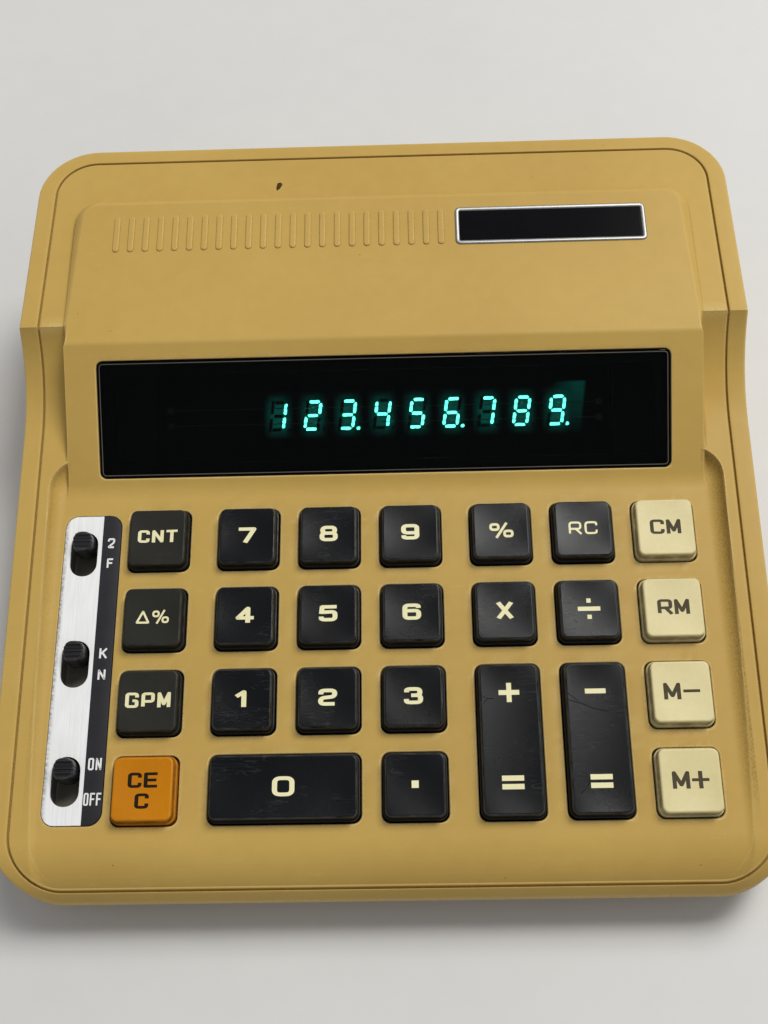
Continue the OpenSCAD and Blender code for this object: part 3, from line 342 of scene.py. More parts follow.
def in_hole(xs, ys, hole_x, hole_y):
    """Which cells between the lines xs and ys lie between the first and the last of a hole's marks."""
    x, y = (xs[1:] + xs[:-1]) / 2, (ys[1:] + ys[:-1]) / 2
    return ((y > hole_y[0]) & (y < hole_y[-1]))[:, None] & ((x > hole_x[0]) & (x < hole_x[-1]))[None]


def loops(place, middle, half, corner, profile, xs=(), ys=(), steps=8, least=0.0):
    """Rows of one rounded rectangle, each drawn in and set to a height by an (inset, height) of the
    profile."""
    rows = []
    for inset, z in profile:
        hx, hy, r = half[0] - inset, half[1] - inset, max(corner - inset, least)
        flat = round_loop(-hx, -hy, hx, hy, r, r, xs, ys, steps)
        rows.append(place(middle[0] + flat[:, 0], middle[1] + flat[:, 1], z))
    return np.stack(rows)


def fan(points, flip=False):
    """Triangles from the first of the points to each pair of neighbours after it."""
    m = np.arange(1, len(points) - 1)
    tris = np.stack([np.zeros_like(m), m, m + 1], -1)
    return tris[:, [0, 2, 1]] if flip else tris


def at_level(z):
    """Height function of a flat top."""
    return lambda x, y: np.full(np.shape(x), z)


def pad(shell, place, middle, half, corner, height, profile, cells, wear=0.0, grime=0.0):
    """A plate or cap: a grid over a rounded rectangle, drawn in at its corner rows, whose height is a
    function of x and y, with a profile of (distance out, drop) carried round its edge and a flat
    underside."""
    hx, hy = half
    quarter = corner * (1 - np.cos(np.linspace(0, math.pi / 2, 7)))
    between = np.linspace(-hy + corner, hy - corner, cells[1] + 1)[1:-1]
    ys = np.concatenate([-hy + quarter, between, (hy - quarter)[::-1]])
    reach = np.clip(np.abs(ys) - (hy - corner), 0, corner)
    width = hx - corner + np.sqrt(corner ** 2 - reach ** 2)
    share = np.sin(np.linspace(-1, 1, cells[0] + 1) * math.pi / 2)
    flat = np.stack([share[None] * width[:, None], np.broadcast_to(ys[:, None], (len(ys), cells[0] + 1))], -1)
    z = height(flat[..., 0], flat[..., 1])
    shell.rings(place(middle[0] + flat[..., 0], middle[1] + flat[..., 1], z), closed=False)
    ring, out = border(flat)
    top = height(ring[:, 0], ring[:, 1])
    rows = []
    for away, drop in profile:
        p = ring + out * away
        rows.append(place(middle[0] + p[:, 0], middle[1] + p[:, 1], top - drop))
    rows = np.stack(rows)
    shell.rings(rows, flip=True, wear=wear, grime=grime)
    shell.cap(rows[-1], flip=True)


def round_over(radius, depth, steps=5):
    """Profile of a quarter-round edge followed by an upright side down to depth."""
    a = np.linspace(0, math.pi / 2, steps)
    return [(radius * math.sin(t), radius * (1 - math.cos(t))) for t in a] + [(radius, depth)]


# Shader node groups and materials


def feed(tree, socket, value):
    """Link a socket to another node's output, or give it a plain value."""
    if isinstance(value, bpy.types.NodeSocket):
        tree.links.new(value, socket)
    else:
        socket.default_value = value


def add_node(tree, kind, values=None, **settings):
    """A node with its own settings and with what its sockets take."""
    n = tree.nodes.new(kind)
    for key, value in settings.items():
        setattr(n, key, value)
    for key, value in (values or {}).items():
        feed(tree, n.inputs[key], value)
    return n


def new_group(name, inputs, outputs):
    """An empty node group: its tree, what it is given and what it puts out."""
    tree = bpy.data.node_groups.new(name, "ShaderNodeTree")
    for label, kind, value in inputs:
        tree.interface.new_socket(label, in_out="INPUT", socket_type=kind).default_value = value
    for label, kind in outputs:
        tree.interface.new_socket(label, in_out="OUTPUT", socket_type=kind)
    return tree, tree.nodes.new("NodeGroupInput").outputs, tree.nodes.new("NodeGroupOutput").inputs


NUMBER, COLOUR = "NodeSocketFloat", "NodeSocketColor"


def math_node(tree, operation, a, b=0.0, clamp=False):
    """Result of one Math node."""
    return add_node(tree, "ShaderNodeMath", {0: a, 1: b}, operation=operation, use_clamp=clamp).outputs[0]


def times(tree, a, b, clamp=False):
    """Product of two values."""
    return math_node(tree, "MULTIPLY", a, b, clamp)


def plus(tree, a, b, clamp=False):
    """Sum of two values."""
    return math_node(tree, "ADD", a, b, clamp)


def minus(tree, a, b):
    """Difference of two values."""
    return math_node(tree, "SUBTRACT", a, b)


def mix_colour(tree, share, a, b):
    """Colour a turned into colour b by a share."""
    n = add_node(tree, "ShaderNodeMix", data_type="RGBA")
    for key, value in ((0, share), (6, a), (7, b)):
        feed(tree, n.inputs[key], value)
    return n.outputs[2]


def ramp(tree, value, low, high):
    """Value spread from low..high to 0..1."""
    given = {"Value": value, "From Min": low, "From Max": high}
    return add_node(tree, "ShaderNodeMapRange", given, clamp=True).outputs[0]


def noise(tree, where, scale, detail=3.0, rough=0.5):
    """Value of a noise at a place."""
    given = {"Vector": where, "Scale": scale, "Detail": detail, "Roughness": rough}
    return add_node(tree, "ShaderNodeTexNoise", given).outputs[0]


def object_coords(tree):
    """Place on the piece in its own coordinates."""
    return tree.nodes.new("ShaderNodeTexCoord").outputs["Object"]


def make_aged_tone():
    """Colour that drifts between a fresh and an aged tone in broad clouds, with finer mottling."""
    tree, given, out = new_group(
        "aged_tone",
        [("Fresh", COLOUR, (1, 1, 1, 1)), ("Aged", COLOUR, (1, 1, 1, 1)), ("Cloud", NUMBER, 30.0)],
        [("Color", COLOUR)])
    where = object_coords(tree)
    broad = ramp(tree, noise(tree, where, given["Cloud"], 2.0), 0.35, 0.68)
    fine = ramp(tree, noise(tree, where, times(tree, given["Cloud"], 14.0), 4.0), 0.3, 0.75)
    share = plus(tree, times(tree, broad, 0.65), times(tree, fine, 0.35))
    tree.links.new(mix_colour(tree, share, given["Fresh"], given["Aged"]), out["Color"])
    return tree


def make_use_marks():
    """Masks of use: worn edges and grimy hollows from the piece's own attributes broken up by noise, and
    sparse small specks where a cell's distance is under a limit. On some pieces the worn mask also paints
    highlights and the grime mask paints shade."""
    tree, given, out = new_group(
        "use_marks",
        [("Break up", NUMBER, 320.0), ("Speck scale", NUMBER, 160.0), ("Speck size", NUMBER, 0.06)],
        [("Worn", NUMBER), ("Grime", NUMBER), ("Specks", NUMBER)])
    where = object_coords(tree)
    patch = ramp(tree, noise(tree, where, given["Break up"], 5.0, 0.55), 0.3, 0.7)
    for label, socket in (("wear", "Worn"), ("grime", "Grime")):
        amount = add_node(tree, "ShaderNodeAttribute", attribute_name=label).outputs["Fac"]
        tree.links.new(times(tree, amount, patch, clamp=True), out[socket])
    spread = {"Vector": where, "Scale": given["Speck scale"], "Randomness": 1.0}
    cells = add_node(tree, "ShaderNodeTexVoronoi", spread)
    spot = math_node(tree, "LESS_THAN", cells.outputs["Distance"], given["Speck size"])
    rare = math_node(tree, "GREATER_THAN", noise(tree, where, 37.0, 2.0), 0.55)
    tree.links.new(times(tree, spot, rare), out["Specks"])
    return tree


def make_surface_grain():
    """Height of a moulded skin: fine cell-like grain over slow waviness."""
    tree, given, out = new_group(
        "surface_grain", [("Scale", NUMBER, 2600.0), ("Waviness", NUMBER, 0.3)], [("Height", NUMBER)])
    where = object_coords(tree)
    slow = times(tree, noise(tree, where, times(tree, given["Scale"], 0.03), 2.0), given["Waviness"])
    tree.links.new(plus(tree, noise(tree, where, given["Scale"], 3.0, 0.55), slow), out["Height"])
    return tree


def make_fine_scratches():
    """Mask of hairline scratches: thin bands of two stretched noises laid across each other."""
    tree, given, out = new_group(
        "fine_scratches", [("Scale", NUMBER, 110.0), ("Width", NUMBER, 0.012)], [("Mask", NUMBER)])
    where = object_coords(tree)
    masks = []
    for turn, stretch in ((0.5, (1.0, 9.0, 1.0)), (-0.9, (1.0, 7.0, 1.0))):
        laid = {"Vector": where, "Rotation": (0.0, 0.0, turn), "Scale": stretch}
        bent = add_node(tree, "ShaderNodeMapping", laid).outputs[0]
        away = math_node(tree, "ABSOLUTE", minus(tree, noise(tree, bent, given["Scale"], 1.0), 0.5))
        masks.append(math_node(tree, "LESS_THAN", away, given["Width"]))
    rare = math_node(tree, "GREATER_THAN", noise(tree, where, 90.0, 2.0), 0.56)
    tree.links.new(times(tree, math_node(tree, "MAXIMUM", *masks), rare), out["Mask"])
    return tree


AGED_TONE, USE_MARKS = make_aged_tone(), make_use_marks()
SURFACE_GRAIN, FINE_SCRATCHES = make_surface_grain(), make_fine_scratches()


def use_group(tree, group, **values):
    """Outputs of a node group that is placed in a material with its own values."""
    n = tree.nodes.new("ShaderNodeGroup")
    n.node_tree = group
    for key, value in values.items():
        feed(tree, n.inputs[key.replace("_", " ")], value)
    return n.outputs


def srgb(r, g, b):
    """Linear colour of an sRGB colour in 0..255."""
    c = np.array([r, g, b]) / 255.0
    return (*np.where(c <= 0.04045, c / 12.92, ((c + 0.055) / 1.055) ** 2.4).tolist(), 1.0)


def new_material(name, **sockets):
    """A material, its tree and its shader, with plain values on the shader's own sockets."""
    m = bpy.data.materials.new(name)
    m.use_nodes = True
    shader = m.node_tree.nodes["Principled BSDF"]
    for key, value in sockets.items():
        shader.inputs[key.replace("_", " ")].default_value = value
    return m, m.node_tree, shader


def bump(tree, shader, height, strength, distance):
    """Let a height tilt the shader's normal."""
    n = add_node(tree, "ShaderNodeBump", {"Height": height, "Strength": strength, "Distance": distance})
    tree.links.new(n.outputs[0], shader.inputs["Normal"])


# Depths of a plastic's grain and of a metal's brush lines, in metres
GRAIN_DEPTH, BRUSH_DEPTH = 0.00008, 0.00003


def moulded(name, fresh, aged, worn, rough, grain=2600.0, depth=0.25, cloud=30.0, speck=0.05, scratch=0.012,
            grimy=(0.03, 0.022, 0.012, 1.0), break_up=320.0, **sockets):
    """Moulded plastic: an aged tone, worn edges, grime in hollows, specks and scratches over a fine grain.
    On some pieces the worn tone also paints highlights and the grime tone paints shade. The fresh, aged and
    worn tones are given as sRGB."""
    fresh, aged, worn = srgb(*fresh), srgb(*aged), srgb(*worn)
    m, tree, shader = new_material(name, **sockets)
    tone = use_group(tree, AGED_TONE, Fresh=fresh, Aged=aged, Cloud=cloud)["Color"]
    marks = use_group(tree, USE_MARKS, Speck_size=speck, Break_up=break_up)
    lines = use_group(tree, FINE_SCRATCHES, Width=scratch)["Mask"]
    # Worn tone by the worn mask, grime tone by the grime mask; on some pieces these are painted highlights
    # and painted shade
    colour = mix_colour(tree, times(tree, marks["Worn"], 0.55), tone, worn)
    colour = mix_colour(tree, times(tree, marks["Grime"], 0.55), colour, grimy)
    colour = mix_colour(tree, times(tree, marks["Specks"], 0.5), colour, grimy)
    colour = mix_colour(tree, times(tree, lines, 0.06), colour, worn)
    tree.links.new(colour, shader.inputs["Base Color"])
    height = use_group(tree, SURFACE_GRAIN, Scale=grain)["Height"]
    uneven = times(tree, minus(tree, height, 0.5), 0.18)
    base = plus(tree, uneven, rough)
    polished = minus(tree, base, times(tree, marks["Worn"], 0.14))
    dulled = plus(tree, polished, times(tree, marks["Grime"], 0.4))
    scratched = plus(tree, dulled, times(tree, lines, 0.12), clamp=True)
    tree.links.new(scratched, shader.inputs["Roughness"])
    bump(tree, shader, height, depth, GRAIN_DEPTH)
    return m


def brushed(name, colour, rough, stretch=(5200.0, 60.0, 900.0), band=None, band_colour=(0, 0, 0, 1),
            **sockets):
    """Brushed metal: a noise drawn out along Y sets tone, roughness and bump; right of the band's x it is
    printed, and grime lies along its edges."""
    m, tree, shader = new_material(name, **sockets)
    where = object_coords(tree)
    drawn = add_node(tree, "ShaderNodeMapping", {"Vector": where, "Scale": stretch}).outputs[0]
    lines = noise(tree, drawn, 1.0, 5.0, 0.65)
    dark = tuple(c * 0.8 for c in colour[:3]) + (1.0,)
    tone = mix_colour(tree, ramp(tree, lines, 0.25, 0.75), dark, colour)
    stain = ramp(tree, noise(tree, where, 240.0, 4.0), 0.45, 0.8)
    tone = mix_colour(tree, times(tree, stain, 0.3), tone, dark)
    roughness = plus(tree, times(tree, lines, 0.22), rough - 0.1)
    if band is None:
        shader.inputs["Metallic"].default_value = 1.0
    else:
        x = add_node(tree, "ShaderNodeSeparateXYZ", {0: where}).outputs[0]
        printed = math_node(tree, "GREATER_THAN", x, band)
        faded = tuple(c * 1.5 for c in band_colour[:3]) + (1.0,)
        ink = use_group(tree, AGED_TONE, Fresh=band_colour, Aged=faded, Cloud=120.0)["Color"]
        grime = use_group(tree, USE_MARKS, Break_up=1400.0)["Grime"]
        tone = mix_colour(tree, times(tree, grime, 0.7, clamp=True), tone, srgb(92, 84, 68))
        tone = mix_colour(tree, printed, tone, ink)
        bare = minus(tree, 1.0, printed)
        roughness = plus(tree, times(tree, roughness, bare), times(tree, printed, 0.45))
        tree.links.new(times(tree, bare, 0.25), shader.inputs["Metallic"])
    tree.links.new(tone, shader.inputs["Base Color"])
    tree.links.new(roughness, shader.inputs["Roughness"])
    bump(tree, shader, lines, 0.15, BRUSH_DEPTH)
    return m


def glazing(name, tint, smudge_tint, rough, **sockets):
    """Tinted glazing: smudges change its tint and gloss a little."""
    m, tree, shader = new_material(name, Transmission_Weight=1.0, **sockets)
    where = object_coords(tree)
    smudge = ramp(tree, noise(tree, where, 55.0, 5.0, 0.6), 0.5, 0.8)
    tree.links.new(mix_colour(tree, smudge, tint, smudge_tint), shader.inputs["Base Color"])
    tree.links.new(plus(tree, times(tree, smudge, 0.05), rough), shader.inputs["Roughness"])
    return m


def glowing(name, colour, edge, strength):
    """Lit phosphor: an even glow with a fine powdery unevenness."""
    m, tree, shader = new_material(name, Roughness=0.8, Emission_Strength=strength)
    powder = ramp(tree, noise(tree, object_coords(tree), 3500.0, 2.0), 0.3, 0.6)
    tone = mix_colour(tree, powder, edge, colour)
    tree.links.new(tone, shader.inputs["Base Color"])
    tree.links.new(tone, shader.inputs["Emission Color"])
    return m


def glow_backing(name, fresh, aged, glow):
    """Dark plate behind the digits, with the digits' light painted on it as emission: a haze round each lit
    place, and a slanting patch of it past the last one."""
    m, tree, shader = new_material(name, Roughness=0.55, Emission_Strength=1.0)
    where = object_coords(tree)
    tone = use_group(tree, AGED_TONE, Fresh=fresh, Aged=aged, Cloud=120.0)["Color"]
    tree.links.new(tone, shader.inputs["Base Color"])
    x, y, z = add_node(tree, "ShaderNodeSeparateXYZ", {0: where}).outputs
    first = (PLACES - 1) / 2 + PLACE_SHIFT / PLACE_PITCH
    place = plus(tree, times(tree, x, 1 / (PLACE_PITCH * MM)), first)
    up = plus(tree, times(tree, y, FACE_ALONG[0] / MM), times(tree, z, FACE_ALONG[1] / MM))
    up = minus(tree, up, FACE_MIDDLE @ FACE_ALONG)
    off = math_node(tree, "ABSOLUTE", minus(tree, math_node(tree, "FRACT", plus(tree, place, 0.5)), 0.5))
    painted_halo = times(tree, ramp(tree, off, 0.46, 0.14), ramp(tree, math_node(tree, "ABSOLUTE", up), 6.2, 2.2))
    painted_halo = times(tree, painted_halo, math_node(tree, "GREATER_THAN", place, 1.5))
    painted_halo = math_node(tree, "POWER", times(tree, painted_halo, math_node(tree, "LESS_THAN", place, 10.5)), 1.6)
    slant = minus(tree, place, times(tree, up, 0.012))
    patch = times(tree, ramp(tree, slant, 9.8, 10.5), ramp(tree, slant, 10.78, 10.7))
    patch = times(tree, patch, times(tree, ramp(tree, up, -6.0, 6.5), ramp(tree, up, 7.3, 6.9)))
    # Share of painted glow from the digits at each point
    share = plus(tree, times(tree, painted_halo, 0.36), times(tree, patch, 0.22), clamp=True)
    tree.links.new(mix_colour(tree, share, (0.0, 0.0, 0.0, 1.0), glow), shader.inputs["Emission Color"])
    return m


# Finishes of the outer pieces
# The case's dark mustard grime tone also paints the shade in the well's coves and round the ribs, and its
# pale worn tone also paints the highlight on the key holes' lips
CASE = moulded(
    "case_plastic_finish", (188, 156, 83), (179, 146, 76), (220, 196, 138), 0.42, grain=3200.0, depth=0.18,
    cloud=18.0, speck=0.03, scratch=0.006, grimy=srgb(84, 57, 15), break_up=2600.0, Specular_IOR_Level=0.12)
KEY_GRAIN, KEY_CLOUD = 5200.0, 60.0
# The keys' pale worn tones also paint the highlight along each top's edge
KEY_BLACK = moulded(
    "key_black_finish", (9, 10, 12), (14, 15, 17), (104, 107, 110), 0.2, KEY_GRAIN, 0.3, KEY_CLOUD,
    speck=0.04, scratch=0.008, grimy=(0.004, 0.004, 0.004, 1.0), Specular_IOR_Level=0.16)
KEY_OLIVE = moulded(
    "key_olive_black_finish", (29, 29, 25), (36, 35, 30), (96, 93, 81), 0.46, KEY_GRAIN, 0.4, KEY_CLOUD,
    speck=0.05, scratch=0.006, grimy=(0.004, 0.004, 0.003, 1.0), Specular_IOR_Level=0.16)
KEY_ORANGE = moulded("key_orange_finish", (189, 118, 0), (179, 108, 0), (226, 160, 50), 0.36, KEY_GRAIN,
                     cloud=KEY_CLOUD, Specular_IOR_Level=0.16)
KEY_CREAM = moulded("key_cream_finish", (212, 199, 148), (200, 186, 134), (230, 220, 176), 0.36, KEY_GRAIN,
                    cloud=KEY_CLOUD, Specular_IOR_Level=0.25)
LEGEND_CREAM = moulded("legend_cream", (232, 226, 182), (222, 214, 166), (238, 233, 196), 0.45, KEY_GRAIN,
                       speck=0.0, Specular_IOR_Level=0.2)
LEGEND_GREY = moulded("legend_grey", (64, 57, 40), (78, 70, 50), (96, 88, 66), 0.5, KEY_GRAIN, speck=0.0,
                      Specular_IOR_Level=0.1)
LEGEND_BLACK = moulded("legend_black", (26, 20, 8), (34, 27, 12), (50, 40, 20), 0.5, KEY_GRAIN, speck=0.0,
                       Specular_IOR_Level=0.08)
LEGEND_WHITE = moulded("legend_white", (232, 232, 228), (214, 214, 210), (240, 240, 238), 0.5, KEY_GRAIN,
                       speck=0.0)
CRACK_DARK = moulded("crack_dark", (6, 6, 7), (9, 9, 10), (14, 14, 15), 0.7, KEY_GRAIN,
                     Specular_IOR_Level=0.1)
NICK = moulded("nick_dark", (84, 64, 36), (58, 43, 24), (100, 78, 46), 0.7, cloud=400.0,
               Specular_IOR_Level=0.05)
KNOB_BLACK = moulded("knob_black_finish", (24, 24, 26), (34, 34, 36), (90, 90, 90), 0.4, KEY_GRAIN)
INLAY = moulded("black_gloss_finish", (14, 14, 16), (18, 18, 20), (40, 40, 40), 0.16, grain=2000.0,
                depth=0.03, speck=0.04, scratch=0.002, Specular_IOR_Level=0.02)
# Pale tone of the line round the pane's edge, a painted highlight
PANE_EDGE_HIGHLIGHT = moulded("pane_edge", (92, 84, 74), (74, 68, 60), (120, 112, 100), 0.35)
MASK = moulded("window_border", (9, 9, 10), (13, 13, 14), (18, 18, 18), 0.5)
RUBBER = moulded("black_rubber_finish", (26, 26, 26), (36, 36, 35), (70, 70, 68), 0.75, grain=1500.0,
                 depth=0.5)
BAND_GAP = 0.95
BAND_X = SLOTS_X + SLOT_W / 2 + BAND_GAP
PANEL_METAL = brushed("aluminium_panel_finish", srgb(246, 246, 245), 0.46, band=BAND_X * MM,
                      band_colour=srgb(32, 32, 36), Specular_IOR_Level=0.2)
BRIGHT = brushed("bright_trim_finish", srgb(158, 158, 156), 0.42, stretch=(400.0, 400.0, 400.0))
STEEL = brushed("steel_finish", srgb(170, 170, 168), 0.35, stretch=(1500.0, 1500.0, 1500.0))
WINDOW = glazing("tinted_window_finish", (0.13, 0.16, 0.155, 1), (0.12, 0.145, 0.14, 1), 0.015, IOR=1.15)
LIT = glowing("phosphor_lit_finish", (0.14, 1.0, 0.74, 1), (0.07, 0.85, 0.62, 1), 26.0)

# Finishes of the pieces inside
BRASS = brushed("contact_metal_finish", srgb(214, 180, 104), 0.3, stretch=(900.0, 900.0, 900.0))
IRON = brushed("core_iron_finish", srgb(96, 96, 98), 0.5, stretch=(200.0, 5000.0, 200.0))
GLASS = glazing("clear_glass_finish", (0.9, 0.95, 0.95, 1), (0.85, 0.9, 0.9, 1), 0.02, IOR=1.2)
UNLIT = moulded("phosphor_dark_finish", (58, 66, 64), (48, 56, 54), (70, 78, 76), 0.8)
# Dark plate behind the digits with their glow painted on it
TUBE_PAINTED_GLOW = glow_backing("tube_dark_finish", srgb(14, 20, 20), srgb(10, 15, 15), (0.02, 0.9, 0.7, 1.0))
INNER_BLACK = moulded("inner_black_finish", (24, 24, 24), (30, 30, 30), (60, 60, 60), 0.6)
# A pale grey on the switch housings that paints the light falling down the slots onto them
SWITCH_PAINTED_LIGHT_GREY = moulded("switch_grey_finish", (128, 123, 110), (110, 106, 94), (140, 136, 124), 0.55)
INNER_IVORY = moulded("inner_ivory_finish", (218, 212, 194), (204, 196, 174), (228, 224, 210), 0.5)
BOARD = moulded("circuit_board_finish", (160, 122, 68), (140, 104, 56), (180, 146, 92), 0.5)
CABLE = moulded("cable_grey_finish", (186, 186, 184), (170, 170, 168), (200, 200, 198), 0.5)
SLEEVE = moulded("capacitor_sleeve_finish", (60, 108, 168), (52, 96, 150), (90, 130, 180), 0.35)
WRAP = moulded("coil_wrap_finish", (204, 178, 108), (188, 160, 92), (214, 192, 130), 0.5)

NODE_FINISH = {
    "switch_housings": SWITCH_PAINTED_LIGHT_GREY, "key_guide_plate": INNER_IVORY, "key_contacts": BRASS,
    "keyboard_board": BOARD, "calculator_chip": INNER_BLACK, "driver_chips": INNER_BLACK,
    "display_hood": INNER_BLACK, "tube_glass": GLASS, "tube_base": TUBE_PAINTED_GLOW, "tube_dark_segments": UNLIT,
    "tube_filaments": STEEL, "tube_pins": STEEL, "display_board": BOARD, "ribbon_cable": CABLE,
    "power_board": BOARD, "capacitors": SLEEVE, "rectifier_diodes": INNER_BLACK, "fuse": STEEL,
    "transformer_core": IRON, "transformer_coil": WRAP, "board_screws": STEEL}
for node_name, finish in NODE_FINISH.items():
    node_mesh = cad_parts[node_name].data
    node_mesh.materials.clear()
    node_mesh.materials.append(finish)


# Keys by rows from the rear, "_" where a wide or tall key reaches; then name, column, row, columns spanned,
# rows spanned and finish of each
KEY_ROWS = ("cnt 7 8 9 percent rc cm", "delta_percent 4 5 6 times divide rm",
            "gpm 1 2 3 plus_equals minus_equals m_minus", "ce_c 0 _ point _ _ m_plus")
SPANS = {"0": (2, 1), "plus_equals": (1, 2), "minus_equals": (1, 2)}
TONES = {"cnt": KEY_OLIVE, "delta_percent": KEY_OLIVE, "gpm": KEY_OLIVE, "ce_c": KEY_ORANGE,
         "cm": KEY_CREAM, "rm": KEY_CREAM, "m_minus": KEY_CREAM, "m_plus": KEY_CREAM}
KEYS = [("key_" + name, c, r, *SPANS.get(name, (1, 1)), TONES.get(name, KEY_BLACK))
        for r, names in enumerate(KEY_ROWS) for c, name in enumerate(names.split()) if name != "_"]


def key_place(key):
    """Middle and half sizes of a key at the deck."""
    _, c, r, wide, tall, _ = key
    x = (COLUMN[c], COLUMN[c + wide - 1])
    y = (ROW[r + tall - 1], ROW[r])
    half = ((SIDE_X + x[1] - x[0]) / 2 - KEY_TRIM, (SIDE_Y + y[1] - y[0]) / 2)
    return ((x[0] + x[1]) / 2, (y[0] + y[1]) / 2), half


def key_stems(key):
    """Middles of the cells that a key covers, where its stems go down."""
    _, c, r, wide, tall, _ = key
    return [(COLUMN[c + i], ROW[r + j]) for i in range(wide) for j in range(tall)]


FLANGE_TOP = -WALL - KEY_GAP
FLANGE_UNDER = FLANGE_TOP - FLANGE_T
GUIDE_TOP = FLANGE_UNDER - KEY_TRAVEL - SPRING_SOLID
STEM_END = GUIDE_TOP - GUIDE_T - KEY_GAP
KEY_SLOT = {m.name: m.name.removesuffix("_finish") for m in (KEY_BLACK, KEY_OLIVE, KEY_ORANGE, KEY_CREAM)}
TOP_EDGE, TOP_CORNER, BOWL_DEPTH = 0.4, 1.0, 0.8 * KEY_DISH
BRIM = KEY_LEAN + 0.12


def dish(half):
    """Height of a key's top: level at its edge, with a shallow bowl (1 - u^2)(1 - v^2) that is drawn out on
    wide and tall keys."""
    spare = (max(half[0] - SIDE_X / 2, 0.0), max(half[1] - SIDE_Y / 2, 0.0))

    def height(x, y):
        u = np.clip((np.abs(x) - spare[0]) / (half[0] - spare[0] - KEY_LEAN), 0, 1)
        v = np.clip((np.abs(y) - spare[1]) / (half[1] - spare[1] - KEY_LEAN), 0, 1)
        return KEY_H - BOWL_DEPTH * (1 - u ** 2) * (1 - v ** 2)

    return height


def build_key(key):
    """A key: the dished top, an edge profile carried round it down to the brim and the flange under the
    deck, and a round stem under each cell."""
    name = key[0]
    middle, half = key_place(key)
    shell = Shell()
    step = KEY_H - KEY_SKIRT
    profile = round_over(TOP_EDGE, TOP_EDGE, 5)[:-1] + [
        (0.46, 1.2), (0.52, step - 0.2), (0.56, step - 0.06), (0.66, step), (BRIM - 0.14, step + 0.02),
        (BRIM - 0.04, step + 0.06), (BRIM, step + 0.17), (BRIM, KEY_H - FLANGE_TOP),
        (BRIM + FLANGE_W, KEY_H - FLANGE_TOP), (BRIM + FLANGE_W, KEY_H - FLANGE_UNDER)]
    # Wear and a painted highlight round the top's edge; dirt and painted shade down the plateau's wall and
    # the skirt
    wear = [0.0, 0.35, 0.9, 0.8, 0.25] + [0.0, 0.0, 0.0, 0.0, 0.2, 0.4, 0.2, 0.0, 0.0, 0.0]
    grime = [0.0, 0.0, 0.0, 0.0, 0.4] + [1.6, 2.0, 2.0, 1.6, 0.8, 0.4, 1.0, 2.0, 0.0, 0.0]
    pad(shell, deck, middle, (half[0] - BRIM, half[1] - BRIM), TOP_CORNER, dish(half), profile,
        (20 * key[3], 20 * key[4]), wear, grime)
    stem_x, stem_y = (STEM_R * ways_at(full_turn(32))).T
    for x, y in key_stems(key):
        stem = np.stack([deck(x + stem_x, y + stem_y, z) for z in (FLANGE_UNDER, STEM_END)])
        shell.rings(stem, flip=True)
        shell.cap(stem[-1], flip=True)
    return shell.piece(name + "_cap", key[5], name, (name,), KEY_SLOT[key[5].name], sharp=28.0)


def build_spring(key):
    """Return spring round each stem of a key: a round wire carried along a helix between the guide plate
    and the key's flange."""
    name, turns, wire = key[0], 5, 0.25
    shell = Shell()
    coil_r = STEM_R + STEM_GAP + PLAY + SPRING_T / 2
    low, high = GUIDE_TOP, FLANGE_UNDER - PLAY / 3
    t = np.linspace(0, 1, 20 * turns + 1)[:, None]
    spin = full_turn(6)
    r, turn = coil_r + wire * np.cos(spin), 2 * math.pi * turns * t
    z = low + wire + (high - low - 2 * wire) * t + wire * np.sin(spin)
    for x, y in key_stems(key):
        rows = deck(x + r * np.cos(turn), y + r * np.sin(turn), z)
        shell.rings(rows)
        shell.cap(rows[0])
        shell.cap(rows[-1], flip=True)
    coil = shell.piece(name + "_spring", STEEL, "case", ("key_springs",), "steel", outwards=True)
    foot = deck(*key_place(key)[0], low)
    up = deck(*key_place(key)[0], low + 1.0) - foot
    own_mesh(coil)


for key in KEYS:
    build_key(key)
    build_spring(key)

# Legends: strokes in a unit box, each a list of points, with how round its corners are and whether it
# closes; "^" is a triangle, "z" a 2 with a slanting foot, ":" a division sign
ROUND, BLUNT, TINY = 0.3, 0.04, 1e-9


def straight(*points):
    """An open stroke with blunt corners."""
    return points, BLUNT, False


def curved(*points):
    """An open stroke with round corners."""
    return points, ROUND, False


